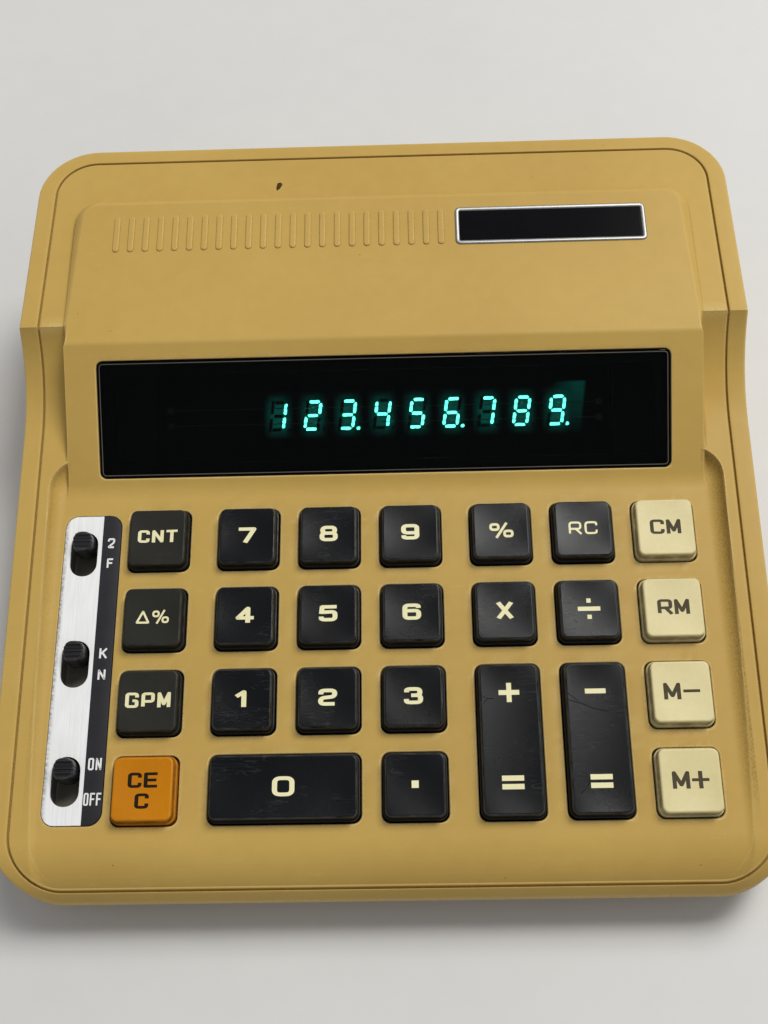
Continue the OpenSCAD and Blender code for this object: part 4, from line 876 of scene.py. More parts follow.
GLYPHS = {
    "0": [([(0, 0), (1, 0), (1, 1), (0, 1)], 0.36, True)],
    "1": [straight((0.62, 0), (0.62, 1), (0.2, 0.74))],
    "2": [curved((0.02, 0.72), (0.02, 1), (1, 1), (1, 0.54), (0, 0.44), (0, 0), (1, 0))],
    "3": [curved((0.02, 0.76), (0.02, 1), (0.96, 1), (0.96, 0.53), (0.34, 0.53)),
          curved((0.34, 0.53), (1, 0.53), (1, 0), (0, 0), (0, 0.26))],
    "4": [straight((1, 0.26), (0, 0.26), (0.72, 1), (0.72, 0))],
    "5": [straight((0.96, 1), (0.06, 1), (0.02, 0.58)),
          curved((0.02, 0.58), (1, 0.62), (1, 0), (0, 0), (0, 0.24))],
    "6": [curved((0.98, 0.78), (0.98, 1), (0, 1), (0, 0), (1, 0), (1, 0.58), (0, 0.58))],
    "7": [straight((0, 1), (1, 1), (0.4, 0))],
    "8": [([(0, 0), (1, 0), (1, 0.53), (0, 0.53)], ROUND, True),
          ([(0.05, 0.53), (0.95, 0.53), (0.95, 1), (0.05, 1)], ROUND, True)],
    "9": [curved((0.02, 0.22), (0.02, 0), (1, 0), (1, 1), (0, 1), (0, 0.42), (1, 0.42))],
    "C": [curved((1, 0.7), (1, 1), (0, 1), (0, 0), (1, 0), (1, 0.3))],
    "E": [straight((1, 1), (0, 1), (0, 0), (1, 0)), straight((0, 0.5), (0.9, 0.5))],
    "F": [straight((1, 1), (0, 1), (0, 0)), straight((0, 0.5), (0.85, 0.5))],
    "G": [([(1, 0.72), (1, 1), (0, 1), (0, 0), (1, 0), (1, 0.46), (0.56, 0.46)], 0.26, False)],
    "K": [straight((0, 0), (0, 1)), straight((1, 1), (0.08, 0.42)),
          straight((0.36, 0.58), (1, 0))],
    "M": [straight((0, 0), (0, 1), (0.5, 0.16), (1, 1), (1, 0))],
    "N": [straight((0, 0), (0, 1), (1, 0), (1, 1))],
    "O": [([(0, 0), (1, 0), (1, 1), (0, 1)], 0.34, True)],
    "P": [([(0, 0), (0, 1), (1, 1), (1, 0.4), (0, 0.4)], 0.26, False)],
    "R": [([(0, 0), (0, 1), (1, 1), (1, 0.42), (0, 0.42)], 0.26, False), straight((0.55, 0.42), (1, 0))],
    "T": [straight((0, 1), (1, 1)), straight((0.5, 0), (0.5, 1))],
    "%": [([(0, 0.56), (0.36, 0.56), (0.36, 1), (0, 1)], 0.2, True),
          ([(0.64, 0), (1, 0), (1, 0.44), (0.64, 0.44)], 0.2, True),
          straight((0.28, -0.05), (0.72, 1.05))],
    "^": [([(0, 0), (1, 0), (0.5, 1)], BLUNT, True)],
    "z": [([(0.02, 0.72), (0.06, 1), (0.98, 1), (0.98, 0.6), (0, 0), (1, 0)], 0.24, False)],
    "x": [straight((0, 0), (1, 1)), straight((0, 1), (1, 0))],
    "+": [straight((0, 0.5), (1, 0.5)), straight((0.5, 0), (0.5, 1))],
    "-": [straight((0, 0.5), (1, 0.5))],
    "=": [straight((0, 0.78), (1, 0.78)), straight((0, 0.22), (1, 0.22))],
    ":": [straight((0, 0.5), (1, 0.5)), straight((0.49, 0.97), (0.51, 0.97)),
          straight((0.49, 0.03), (0.51, 0.03))],
    ".": [straight((0, 0.5), (1, 0.5))]}


def softened(points, radius, closed, steps=6):
    """A stroke whose corners are replaced by curves: each runs from radius before the corner to radius
    after it."""
    p = np.asarray(points, float)
    before, after = np.roll(p, 1, 0), np.roll(p, -1, 0)
    cut_in = np.minimum(radius, np.linalg.norm(p - before, axis=1) / 2)[:, None]
    cut_out = np.minimum(radius, np.linalg.norm(after - p, axis=1) / 2)[:, None]
    start = p + (before - p) / np.linalg.norm(before - p, axis=1)[:, None] * cut_in
    end = p + (after - p) / np.linalg.norm(after - p, axis=1)[:, None] * cut_out
    t = np.linspace(0, 1, steps)[None, :, None]
    curve = (1 - t) ** 2 * start[:, None] + 2 * t * (1 - t) * p[:, None] + t ** 2 * end[:, None]
    line = curve.reshape(-1, 2) if closed else np.concatenate([p[:1], curve[1:-1].reshape(-1, 2), p[-1:]])
    step = np.linalg.norm(line - np.roll(line, 1, 0), axis=1)
    return line[step > 1e-6]


def ribbon(points, width, closed):
    """Left and right edges of a stroke of even width, mitred at its bends."""
    if closed:
        before, after = points - np.roll(points, 1, 0), np.roll(points, -1, 0) - points
    else:
        step = np.diff(points, axis=0)
        before, after = np.concatenate([step[:1], step]), np.concatenate([step, step[-1:]])
    before = before / np.maximum(np.linalg.norm(before, axis=1, keepdims=True), TINY)
    after = after / np.maximum(np.linalg.norm(after, axis=1, keepdims=True), TINY)
    way = before + after
    way /= np.maximum(np.linalg.norm(way, axis=1, keepdims=True), TINY)
    across = np.stack([-way[:, 1], way[:, 0]], -1)
    reach = width / 2 / np.clip((way * after).sum(1, keepdims=True), 0.45, 1)
    return points + across * reach, points - across * reach


INK_LIFT, INK_STEP, END_REACH = 0.02, 0.004, 0.45
BOLD, BOLD_FLAT = 0.7, 0.72


def draw_text(shell, place, height, text, middle, size, gap, stroke, flat=1.0):
    """Strokes of a short text centred on middle: each glyph fills a box of the given size, stroke included.
    It is drawn taller by 1 / flat and pressed down again, so its level strokes come out thinner than its
    upright ones."""
    w, h = size[0], size[1] / flat
    x = middle[0] - (len(text) * w + (len(text) - 1) * gap) / 2
    for letter in text:
        for order, (points, radius, closed) in enumerate(GLYPHS[letter]):
            box = np.array([w - stroke, h - stroke])
            line = np.asarray(points, float) * box + [x + stroke / 2, (stroke - h) / 2]
            line = softened(line, radius * box.min(), closed)
            if not closed and np.linalg.norm(line[0] - line[-1]) > 0 and radius == BLUNT:
                out = line[[0, -1]] - line[[1, -2]]
                out /= np.maximum(np.linalg.norm(out, axis=1, keepdims=True), TINY)
                line[[0, -1]] += out * stroke * END_REACH
            ends = np.roll(line, -1, 0) if closed else line[1:]
            fine = [np.linspace(a, b, 4)[:-1] for a, b in zip(line, ends)] + ([] if closed else [line[-1:]])
            left, right = ribbon(np.concatenate(fine), stroke, closed)
            rows = np.stack([right, left]) * [1.0, flat] + [0.0, middle[1]]
            if closed:
                rows = np.concatenate([rows, rows[:, :1]], 1)
            px, py = rows[..., 0], rows[..., 1]
            shell.rings(place(px, py, height(px, py) + INK_LIFT + order * INK_STEP), closed=False)
        x += w + gap


# Texts on each key: characters, place from the key's middle, letter size, gap, stroke
DIGIT = ((4.25, 3.85), 0.0, 1.12)
LEGENDS = {f"key_{n}": [(str(n), (0.0, 0.1), *DIGIT)] for n in range(1, 10)}
LEGENDS.update({
    "key_0": [("0", (0.0, 0.1), (4.9, 4.3), 0.0, 1.12)],
    "key_point": [(".", (0.0, 0.1), (1.7, 1.75), 0.0, 1.6)],
    "key_cnt": [("CNT", (0.1, 0.25), (2.75, 3.1), 0.55, 0.8)],
    "key_gpm": [("GPM", (0.1, 0.15), (3.0, 3.45), 0.6, 0.82)],
    "key_delta_percent": [("^", (-2.25, 0.0), (3.15, 3.1), 0.0, 0.48),
                          ("%", (1.85, 0.0), (3.9, 3.05), 0.0, 0.46)],
    "key_percent": [("%", (0.1, 0.0), (5.6, 3.6), 0.0, 0.62)],
    "key_rc": [("RC", (0.0, 0.2), (3.0, 3.2), 0.7, 0.5)],
    "key_times": [("x", (0.0, 0.0), (3.6, 3.95), 0.0, 1.08)],
    "key_divide": [(":", (0.0, 0.0), (5.2, 5.1), 0.0, 1.0)],
    "key_plus_equals": [("+", (0.0, 10.2), (4.7, 4.45), 0.0, 1.1),
                        ("=", (0.0, -9.6), (4.9, 4.4), 0.0, 1.15)],
    "key_minus_equals": [("-", (0.0, 10.2), (4.7, 4.45), 0.0, 1.1),
                         ("=", (0.0, -9.6), (4.9, 4.4), 0.0, 1.15)],
    "key_ce_c": [("CE", (0.0, 1.9), (3.05, 3.3), 0.45, 0.86), ("C", (0.0, -2.6), (3.1, 3.3), 0.0, 0.86)],
    "key_cm": [("CM", (0.0, 0.1), (3.35, 3.6), 0.45, 0.86)],
    "key_rm": [("RM", (0.0, 0.1), (3.4, 3.6), 0.45, 0.86)],
    "key_m_minus": [("M-", (0.0, 0.1), (3.8, 3.8), 0.5, 0.9)],
    "key_m_plus": [("M+", (0.0, 0.1), (3.8, 3.8), 0.4, 0.9)]})
INK = {KEY_BLACK.name: LEGEND_CREAM, KEY_OLIVE.name: LEGEND_CREAM, KEY_ORANGE.name: LEGEND_BLACK,
       KEY_CREAM.name: LEGEND_GREY}


def build_legend(key):
    """Printed texts on a key's top, which follow its dish; heavy letters are drawn flatter."""
    name = key[0]
    middle, half = key_place(key)
    shell, own = Shell(), dish(half)

    def on_key(x, y, z):
        return deck(middle[0] + x, middle[1] + y, z)

    for text, place, size, gap, stroke in LEGENDS[name]:
        flat = BOLD_FLAT if text[0].isalnum() and stroke > BOLD else 1.0
        draw_text(shell, on_key, own, text, place, size, gap, stroke, flat)
    return shell.piece(name + "_legend", INK[key[5].name], name, slot=KEY_SLOT[key[5].name], sharp=80.0)


for key in KEYS:
    build_legend(key)

# Hairline cracks in the two tall keys, from the key's middle
CRACK_W, CRACK_BEND, CRACK_LIFT = 0.14, 0.8, 0.01
CRACKS = {
    "key_plus_equals": [[(-6.2, 9.6), (-5.0, 8.9), (-3.4, 8.8)], [(-4.8, 8.9), (-5.9, 7.6)]],
    "key_minus_equals": [[(-6.2, 9.9), (-4.0, 7.9), (-1.0, 6.4), (2.4, 5.6)], [(-6.2, 8.4), (-3.6, 7.4)],
                         [(-4.6, -12.2), (-2.9, -10.6), (-2.3, -8.3)]]}


def build_cracks(key):
    """Thin dark strokes that lie on a key's top and follow its dish."""
    name = key[0]
    middle, half = key_place(key)
    shell, own = Shell(), dish(half)
    for points in CRACKS[name]:
        left, right = ribbon(softened(points, CRACK_BEND, False), CRACK_W, False)
        x, y = np.stack([right, left], 1).T
        shell.rings(deck(middle[0] + x, middle[1] + y, own(x, y) + CRACK_LIFT), closed=False)
    return shell.piece(name + "_cracks", CRACK_DARK, name, slot=KEY_SLOT[key[5].name], sharp=80.0)


for key in KEYS:
    if key[0] in CRACKS:
        build_cracks(key)

# Upper case: one sheet over a grid with holes for the keys, the switch panel and the window
TOP_SIDE = RIM_SIDE + PARTING
EDGE_R = 0.45
TOP_HALF = BODY_W / 2 - TOP_SIDE - EDGE_R
TOP_Y0, TOP_Y1 = FRONT + RIM_FRONT + PARTING + EDGE_R, BACK - RIM_BACK - PARTING - EDGE_R
TOP_RF, TOP_RR = CORNER_FRONT - TOP_SIDE - EDGE_R, CORNER_BACK - TOP_SIDE - EDGE_R
STRAIGHT_X = 70.9
HOLE_EDGE = [(0.0, 0.0), (0.16, 0.015), (0.3, 0.06), (0.41, 0.15), (0.48, 0.28), (0.5, 0.45), (0.5, WALL)]
SEAT_EDGE = [(0.0, 0.0), (0.08, 0.03), (0.12, 0.12), (0.12, 0.6)]
PANE_SEAT = [(0.0, 0.0), (0.1, 0.03), (0.19, 0.1), (0.25, 0.25), (0.25, WINDOW_T + PLAY)]
CORNER_EASE, NEAR = 0.4, 1e-4
# Dirt and painted shade in the well's coves beside the hump, darker on the right where the shade falls:
# strength on the right and on the left, width, and run over which it fades in behind the front lip
COVE_DIRT_AND_SHADE_RIGHT, COVE_DIRT_AND_SHADE_LEFT, COVE_SHADE_W, COVE_SHADE_RUN = 1.0, 0.35, HUMP_MARGIN - WELL_MARGIN, 16.0


def case_holes():
    """Holes of the upper case: plane, middle, half sizes, corner radius and edge profile of each."""
    out = []

    def hole(place, middle, half, corner, room, profile):
        grow = room + profile[-1][0]
        out.append((place, middle, (half[0] + grow, half[1] + grow), corner + grow, profile))

    for key in KEYS:
        hole(deck, *key_place(key), KEY_CORNER + CORNER_EASE, KEY_GAP, HOLE_EDGE)
    hole(deck, (PANEL_X, PANEL_Y), (PANEL_W / 2, PANEL_LEN / 2), PANEL_CORNER, PLAY, SEAT_EDGE)
    hole(face, (0.0, 0.0), (WINDOW_W / 2, WINDOW_H / 2), WINDOW_CORNER, PLAY, PANE_SEAT)
    return out


def build_upper_case():
    """Grid of plan lines through every feature, at the case's height, less the cells of the holes; each
    hole's corner squares are filled up to their arcs, and edge profiles are carried round the holes and the
    outer border."""
    holes = case_holes()
    mark_x, mark_y, plans = [], [], []
    for place, (cx, cy), (hx, hy), r, _ in holes:
        c, oy = math.cos(place.slope), place.origin[1]
        xs = [cx - hx, cx - hx + r, cx + hx - r, cx + hx]
        ys = [oy + v * c for v in (cy - hy, cy - hy + r, cy + hy - r, cy + hy)]
        mark_x += xs
        mark_y += ys
        plans.append((xs, ys))
    quarter = 1 - np.cos(np.linspace(0, math.pi / 2, 15))
    # Fills are (from, to, spacing)
    side = [(69.0, 73.4, 0.4), (73.5, 75.9, 0.2), (76.0, 76.5, 0.1), (76.6, 80.6, 0.2), (80.6, TOP_HALF, 0.4)]
    fill_x = [(-69.0, 69.0, 3.0)] + side + [(-b, -a, s) for a, b, s in side]
    foot_y = FOOT_POINT[0]
    well_y = side_point(WELL_BACK, 0.0)[0]
    fill_y = [(TOP_Y0, -78.0, 0.8), (-78.0, foot_y - 2.6, 3.0), (foot_y - 2.6, foot_y + 1.5, 0.2),
              (foot_y + 1.5, well_y + 0.8, 0.2), (well_y + 0.8, SWEEP_START[0], 1.5),
              (SWEEP_START[0], CREASE[0] - 0.3, 1.0), (HUMP_EDGE[0] - 2.5, HUMP_EDGE[0] + 2.5, 0.2),
              (CREASE[0] + 0.3, 66.0, 3.0), (66.0, 74.0, 0.22), (74.0, TOP_Y1, 1.2)]
    mark_y += (TOP_Y0 + TOP_RF * quarter).tolist() + (TOP_Y1 - TOP_RR * quarter).tolist()
    mark_y += [CREASE[0], BACK - HUMP_BACK + HUMP_FOOT]
    hump_side = HUMP_W / 2 + HUMP_FOOT
    xs = grid_lines(mark_x + [-TOP_HALF, TOP_HALF, STRAIGHT_X, -STRAIGHT_X, hump_side, -hump_side], fill_x)
    ys = grid_lines(mark_y, fill_y)
    reach = np.maximum(np.clip(TOP_Y0 + TOP_RF - ys, 0, TOP_RF) / TOP_RF,
                       np.clip(ys - TOP_Y1 + TOP_RR, 0, TOP_RR) / TOP_RR)
    radius = np.where(ys < 0, TOP_RF, TOP_RR)
    half = TOP_HALF - radius * (1 - np.sqrt(np.clip(1 - reach ** 2, 0, 1)))
    pull = (half - STRAIGHT_X) / (TOP_HALF - STRAIGHT_X)
    past = np.maximum(np.abs(xs) - STRAIGHT_X, 0)
    x = np.sign(xs) * (np.minimum(np.abs(xs), STRAIGHT_X) + past * pull[:, None])
    y = np.broadcast_to(ys[:, None], x.shape)
    z = case_height(x, y)
    slope_x = np.gradient(case_height(xs[None], ys[:, None]), xs, axis=1)
    slope_y = np.gradient(z, ys, axis=0)
    bend = np.gradient(slope_x, xs, axis=1) + np.gradient(slope_y, ys, axis=0)
    worn, grimy = np.clip(-bend * 0.6 - 0.15, 0, 0.8), np.clip(bend * 0.3 - 0.1, 0, 0.55)
    # Painted shade with some dirt down the coves beside the hump, carried by the grime mark: darker on the
    # right side, fading in behind the front lip
    room = well_room(x, y)
    cove_dirt_and_shade = (room > 0) * smooth(1 - room / COVE_SHADE_W) * smooth((y - FRONT - FRONT_LIP) / COVE_SHADE_RUN)
    beside = np.abs(x) > HUMP_W / 2
    grimy = np.maximum(grimy, cove_dirt_and_shade * beside * np.where(x > 0, COVE_DIRT_AND_SHADE_RIGHT, COVE_DIRT_AND_SHADE_LEFT))
    shell = Shell()
    cut = np.any([in_hole(xs, ys, *plan) for plan in plans], axis=0)
    shell.add(np.stack([x, y, z], -1), grid_quads(*x.shape)[~cut], worn, grimy)
    for (place, (cx, cy), (hx, hy), r, profile), (hole_x, hole_y) in zip(holes, plans):
        c, oy = math.cos(place.slope), place.origin[1]
        in_x = xs[(xs > hole_x[1] + NEAR) & (xs < hole_x[2] - NEAR)] - cx
        in_y = (ys[(ys > hole_y[1] + NEAR) & (ys < hole_y[2] - NEAR)] - oy) / c - cy
        rows = loops(place, (cx, cy), (hx, hy), r, [(away, -drop) for away, drop in profile], in_x, in_y)
        # Wear and a painted highlight on each hole's rounded lip, where light would catch it; the grime mark
        # grows down the wall
        lip_wear_and_highlight = np.interp(np.arange(len(rows)), [0, 1, 2, 3, len(rows) - 1], [0.5, 2.0, 2.0, 0.8, 0.0])
        shell.rings(rows, wear=lip_wear_and_highlight, grime=np.linspace(0, 0.5, len(rows)))
        turn = np.linspace(0, math.pi / 2, 8)[:, None]
        own_x, own_y = xs - cx, (ys - oy) / c - cy
        for sx, sy in ((1, 1), (-1, 1), (-1, -1), (1, -1)):
            bow = np.concatenate([(hx - r + r * np.cos(turn)) * sx, (hy - r + r * np.sin(turn)) * sy], 1)
            edge_x = np.sort(own_x[(own_x * sx > hx - r + NEAR) & (own_x * sx < hx - NEAR)] * sx)
            edge_y = np.sort(own_y[(own_y * sy > hy - r + NEAR) & (own_y * sy < hy - NEAR)] * sy)
            square = np.concatenate([
                np.stack([edge_x * sx, np.full_like(edge_x, hy * sy)], -1), [[hx * sx, hy * sy]],
                np.stack([np.full_like(edge_y, hx * sx), edge_y[::-1] * sy], -1)])
            loop = np.concatenate([bow, square])
            shell.cap(place(cx + loop[:, 0], cy + loop[:, 1], 0.0), flip=sx * sy > 0)
    ring, out = border(np.stack([x, y, z], -1))
    rows = np.stack([np.concatenate([ring[:, :2] + out * away, ring[:, 2:] - drop], 1)
                     for away, drop in round_over(EDGE_R, SKIRT_H - 1.0, 6)])
    shell.rings(rows, flip=True, wear=[0.2, 0.4, 0.55, 0.4, 0.1, 0.0, 0.0], grime=[0, 0, 0, 0, 0.1, 0.3, 0.6])
    return shell.piece("upper_case", CASE, "case", ("top_case",), "case_plastic", sharp=30.0)


build_upper_case()


def build_ribs():
    """Grip ribs: each is a bar with round ends whose edge is rounded over, set in a row along the hump's
    top."""
    shell = Shell()
    pitch = (HUMP_W - RIB_EDGE - RIB_GAP - BADGE_W - BADGE_EDGE) / (RIB_COUNT - 1)
    soft, top, sunk = 0.45, 0.85 * RIB_H, 0.3
    half = (RIB_W / 2 - soft, RIB_LEN / 2 - soft)
    for i in range(RIB_COUNT):
        # Dark lines round each rib's foot from the grime mark: dirt and painted shade on every side
        pad(shell, crown, (-HUMP_W / 2 + RIB_EDGE + i * pitch, 0.0), half, half[0] - 0.02, at_level(top),
            round_over(soft, RIB_H + sunk, 5), (4, 6),
            wear=[0.4, 0.5, 0.4, 0.0, 0.0, 0.0], grime=[0.0, 0.0, 0.0, 1.4, 2.0, 2.0])
    return shell.piece("grip_ribs", CASE, "case", slot="case_plastic", sharp=40.0)


build_ribs()

# Lower case: one profile carried round the plan, from the floor up the side, over the rim and down into the
# groove, whose last rows are given as (distance from the inner outline, drop, wear, grime)
GROOVE_H = 0.9
GROOVE_EDGE = ((0.3, 0.0, 0.1, 0.0), (0.12, 0.05, 0.5, 0.0), (0.03, 0.17, 0.4, 0.1), (0.0, 0.35, 0.0, 0.3),
               (0.0, GROOVE_H, 0.0, 0.6), (-PARTING - 0.3, GROOVE_H, 0.0, 0.6))
FLOOR_EDGE, FLOOR_RING, WELL_RING, BORE_RUN = 0.8, 4.0, 1.4, 1.2
SCREWS = [(side * (BODY_W / 2 - SCREW_SIDE), y)
          for side in (-1, 1) for y in (FRONT + SCREW_FRONT, BACK - SCREW_BACK)]


def build_lower_case():
    """Rows of one plan outline, each drawn in by its own distances: floor edge, draft, knee, side, rounded
    shoulder, rim top at the rim's line, and the groove's wall and floor; the underside is a flat sheet with
    the screw wells."""
    ys = np.unique(np.round(np.concatenate([
        np.linspace(-75.0, SWEEP_START[0], 10), np.linspace(SWEEP_START[0], CREASE[0], 16),
        CREASE[:1] - 0.15, CREASE[:1] + 0.15, np.linspace(CREASE[0], 76.0, 8)]), 6))
    gland, gland_r = np.array([GLAND_X, GLAND_Z]), GLAND_HOLE_R
    xs = np.unique(np.concatenate([np.linspace(-70, 70, 15), gland[0] + np.array([-gland_r, gland_r])]))
    xs = xs[(np.abs(xs - gland[0]) > gland_r - 1e-6)]

    def outline(side, front, back):
        return round_loop(-BODY_W / 2 + side, FRONT + front, BODY_W / 2 - side, BACK - back,
                          CORNER_FRONT - side, CORNER_BACK - side, xs, ys, 14)

    outer = outline(0, 0, 0)
    inner = outline(RIM_SIDE, RIM_FRONT, RIM_BACK)
    knee = FOOT_H + TAPER_H
    rim_out = np.interp(outer[:, 1], *RIM_LINE.T)
    shoulder = np.clip((rim_out - knee - 0.1) * 0.6, 0.2, 0.6)
    rows, worn, grimy = [], [], []

    def row(flat, z, wear=0.0, grime=0.0):
        rows.append(np.concatenate([flat, np.broadcast_to(z, len(flat))[:, None]], 1))
        worn.append(wear)
        grimy.append(grime)

    for a in np.linspace(0, math.pi / 2, 4):
        inset = TAPER_IN + FLOOR_EDGE * (1 - math.sin(a))
        row(outline(inset, inset, inset), FOOT_H + 0.9 * FLOOR_EDGE * (1 - math.cos(a)), 0.3, 0.3)
    for t in (0.35, 0.7, 0.9):
        inset = TAPER_IN * (1 - t)
        row(outline(inset, inset, inset), FOOT_H + TAPER_H * t, 0.0, 0.25)
    side_foot = np.minimum(knee + 0.35, rim_out - shoulder - 0.02)
    row(outer, side_foot, 0.1)
    wall_top = rim_out - shoulder
    for share in (gland[1] - gland_r, gland[1] + gland_r):
        row(outer, np.clip(share, side_foot + 0.01, wall_top - 0.01))
    across = np.linalg.norm(inner - outer, axis=1)
    toward = (inner - outer) / across[:, None]
    width = np.minimum(shoulder, across * 0.45)
    for a in np.linspace(0, math.pi / 2, 7):
        flat = outer + toward * (width * (1 - math.cos(a)))[:, None]
        z = np.interp(flat[:, 1], *RIM_LINE.T) - shoulder * (1 - math.sin(a))
        row(flat, np.maximum(z, wall_top), 0.15 + 0.75 * math.sin(2 * a))
    for t in (0.5, 0.8):
        flat = outer + (inner - outer) * t
        row(flat, np.interp(flat[:, 1], *RIM_LINE.T), 0.05)
    for away, drop, wear, grime in GROOVE_EDGE:
        flat = inner - toward * away
        row(flat, np.interp(flat[:, 1], *RIM_LINE.T) - drop, wear, grime)
    rows = np.stack(rows)
    k, n = rows.shape[:2]
    index = np.arange(k * n).reshape(k, n)
    quads = np.stack([index[:-1], np.roll(index[:-1], -1, 1), np.roll(index[1:], -1, 1), index[1:]], -1)
    at_gland = (outer[:, 1] > BACK - 1e-6) & (np.roll(outer[:, 1], -1) > BACK - 1e-6)
    at_gland &= np.abs((outer[:, 0] + np.roll(outer[:, 0], -1)) / 2 - gland[0]) < gland_r / 2
    at_height = np.abs(rows[:-1, at_gland, 2].mean(1) - (gland[1] - gland_r)) < 0.01
    keep = ~(at_height[:, None] & at_gland[None])
    shell = Shell()
    shell.add(rows, quads[keep].reshape(-1, 4), np.repeat(worn, n), np.repeat(grimy, n))
    quarter = np.concatenate([[[1.0, 1.0]], ways_at(np.linspace(0, math.pi / 2, 9))]) * gland_r
    for sx, sz in ((1, 1), (-1, 1), (-1, -1), (1, -1)):
        bow = quarter * [sx, sz] + gland
        shell.add(np.stack([bow[:, 0], np.full(len(bow), BACK), bow[:, 1]], -1), fan(bow, flip=sx * sz < 0))
    ring = ways_at(full_turn(32))
    bore = gland + gland_r * ring
    shell.rings(np.stack([np.stack([bore[:, 0], np.full(len(bore), y), bore[:, 1]], -1)
                          for y in (BACK, BACK - BORE_RUN)]))
    wells = [np.array(s) + SCREW_WELL_R * ring for s in SCREWS]
    flat = [rows[0, :, :2]] + wells
    edges, start = [], 0
    for loop in flat:
        i = np.arange(len(loop))
        edges += np.stack([start + i, start + np.roll(i, -1)], -1).tolist()
        start += len(loop)
    inset = TAPER_IN + FLOOR_RING
    flat.append(outline(inset, inset, inset))
    flat += [np.array(s) + WELL_RING * SCREW_WELL_R * ring for s in SCREWS]
    points, _, tris, *_ = geometry.delaunay_2d_cdt(np.concatenate(flat).tolist(), edges, [], 1, 1e-5)
    floor, tris = np.array([list(p) for p in points]), np.array([list(t) for t in tris])
    from_well = np.linalg.norm(floor[tris].mean(1)[:, None] - np.array(SCREWS), axis=-1).min(1)
    shell.add(level(floor[:, 0], floor[:, 1], FOOT_H), tris[from_well > SCREW_WELL_R][:, ::-1])
    for well in wells:
        wall = np.stack([level(well[:, 0], well[:, 1], z) for z in (FOOT_H, FLOOR_TOP)])
        shell.rings(wall, flip=True, grime=[0.0, 1.0])
    return shell.piece("lower_case", CASE, "case", ("bottom_case",), "case_plastic", sharp=30.0)


build_lower_case()


TURN_STEPS = 40


def lathe(shell, axis, middle, profile, cap=True):
    """A profile of (radius, distance along the axis) turned about the axis through middle; axis 0 is up, 1
    is to the rear."""
    rows = []
    for r, along in profile:
        (u, v), w = (r * ways_at(full_turn(TURN_STEPS))).T, np.full(TURN_STEPS, along)
        rows.append(np.array(middle) + (np.stack([u, v, w], -1) if axis == 0 else np.stack([-u, w, v], -1)))
    rows = np.stack(rows)
    shell.rings(rows)
    if cap:
        shell.cap(rows[0], flip=True)
        shell.cap(rows[-1])


def build_feet():
    """Rubber feet: a turned profile with a rounded tread, a groove and a dimple."""
    shell = Shell()
    tread = [(0.6, 0.5), (1.2, 0.15), (2.0, 0.05), (2.6, 0.05), (2.8, 0.3), (3.1, 0.3), (3.3, 0.05),
             (4.3, 0.0), (5.1, 0.08), (5.7, 0.45), (6.0, 1.0), (5.9, FOOT_H)]
    for sx in (-1, 1):
        for sy in (-1, 1):
            lathe(shell, 0, (sx * (BODY_W / 2 - FOOT_SIDE), sy * (BODY_D / 2 - FOOT_END), 0.0), tread)
    return shell.piece("foot_pads", RUBBER, "case", ("rubber_feet",), "black_rubber", outwards=True)


# A screw's (radius, height, in the recess)
SCREW_HEAD = 1.8
SCREW_PROFILE = ((0.05, 0.9, True), (0.45, 0.85, True), (1.2, 0.5, True), (1.3, 0.05, True),
                 (1.9, 0.12, False), (2.5, 0.4, False), (2.75, 0.8, False), (2.75, SCREW_HEAD, False),
                 (1.5, SCREW_HEAD, False), (1.5, 8.0, False))


def build_screws():
    """Case screws in their wells: domed heads with a cross-shaped recess, whose radius is scaled by
    0.45 + 0.55 |cos 2a|^6 round it, and plain shanks."""
    shell = Shell()
    spin = full_turn(48)
    lobe, head = 0.45 + 0.55 * np.abs(np.cos(2 * spin)) ** 6, FLOOR_TOP + 0.5 - SCREW_HEAD
    for x, y in SCREWS:
        rows = []
        for r, z, recess in SCREW_PROFILE:
            flat = r * (lobe[:, None] if recess else 1.0) * ways_at(spin)
            rows.append(level(x + flat[:, 0], y + flat[:, 1], head + z))
        rows = np.stack(rows)
        shell.rings(rows)
        shell.cap(rows[0], flip=True)
        shell.cap(rows[-1])
    return shell.piece("screw_heads", STEEL, "case", ("case_screws",), "steel", outwards=True)


def build_gland():
    """Cord gland: a turned flange and sleeve round an open bore."""
    shell = Shell()
    profile = [(3.1, -8.4), (5.0, -8.4), (5.0, -4.5), (6.9, -4.5), (6.9, -2.6), (5.0, -2.5), (5.0, -1.0),
               (6.95, -1.0), (6.95, -0.35), (6.6, -0.05), (6.2, 0.0), (4.4, 0.0), (3.7, -0.2),
               (3.25, -0.7), (3.1, -1.3), (3.1, -8.4)]
    lathe(shell, 1, (GLAND_X, BACK, GLAND_Z), profile, cap=False)
    return shell.piece("gland_body", RUBBER, "case", ("cord_gland",), "black_rubber", outwards=True)


build_feet()
build_screws()
build_gland()

# Display window with its dark border, lit digits and blank plate
BORDER_W, BORDER_DEPTH, BORDER_CORNER, BORDER_DROP = 3.2, 3.0, 1.4, 0.05


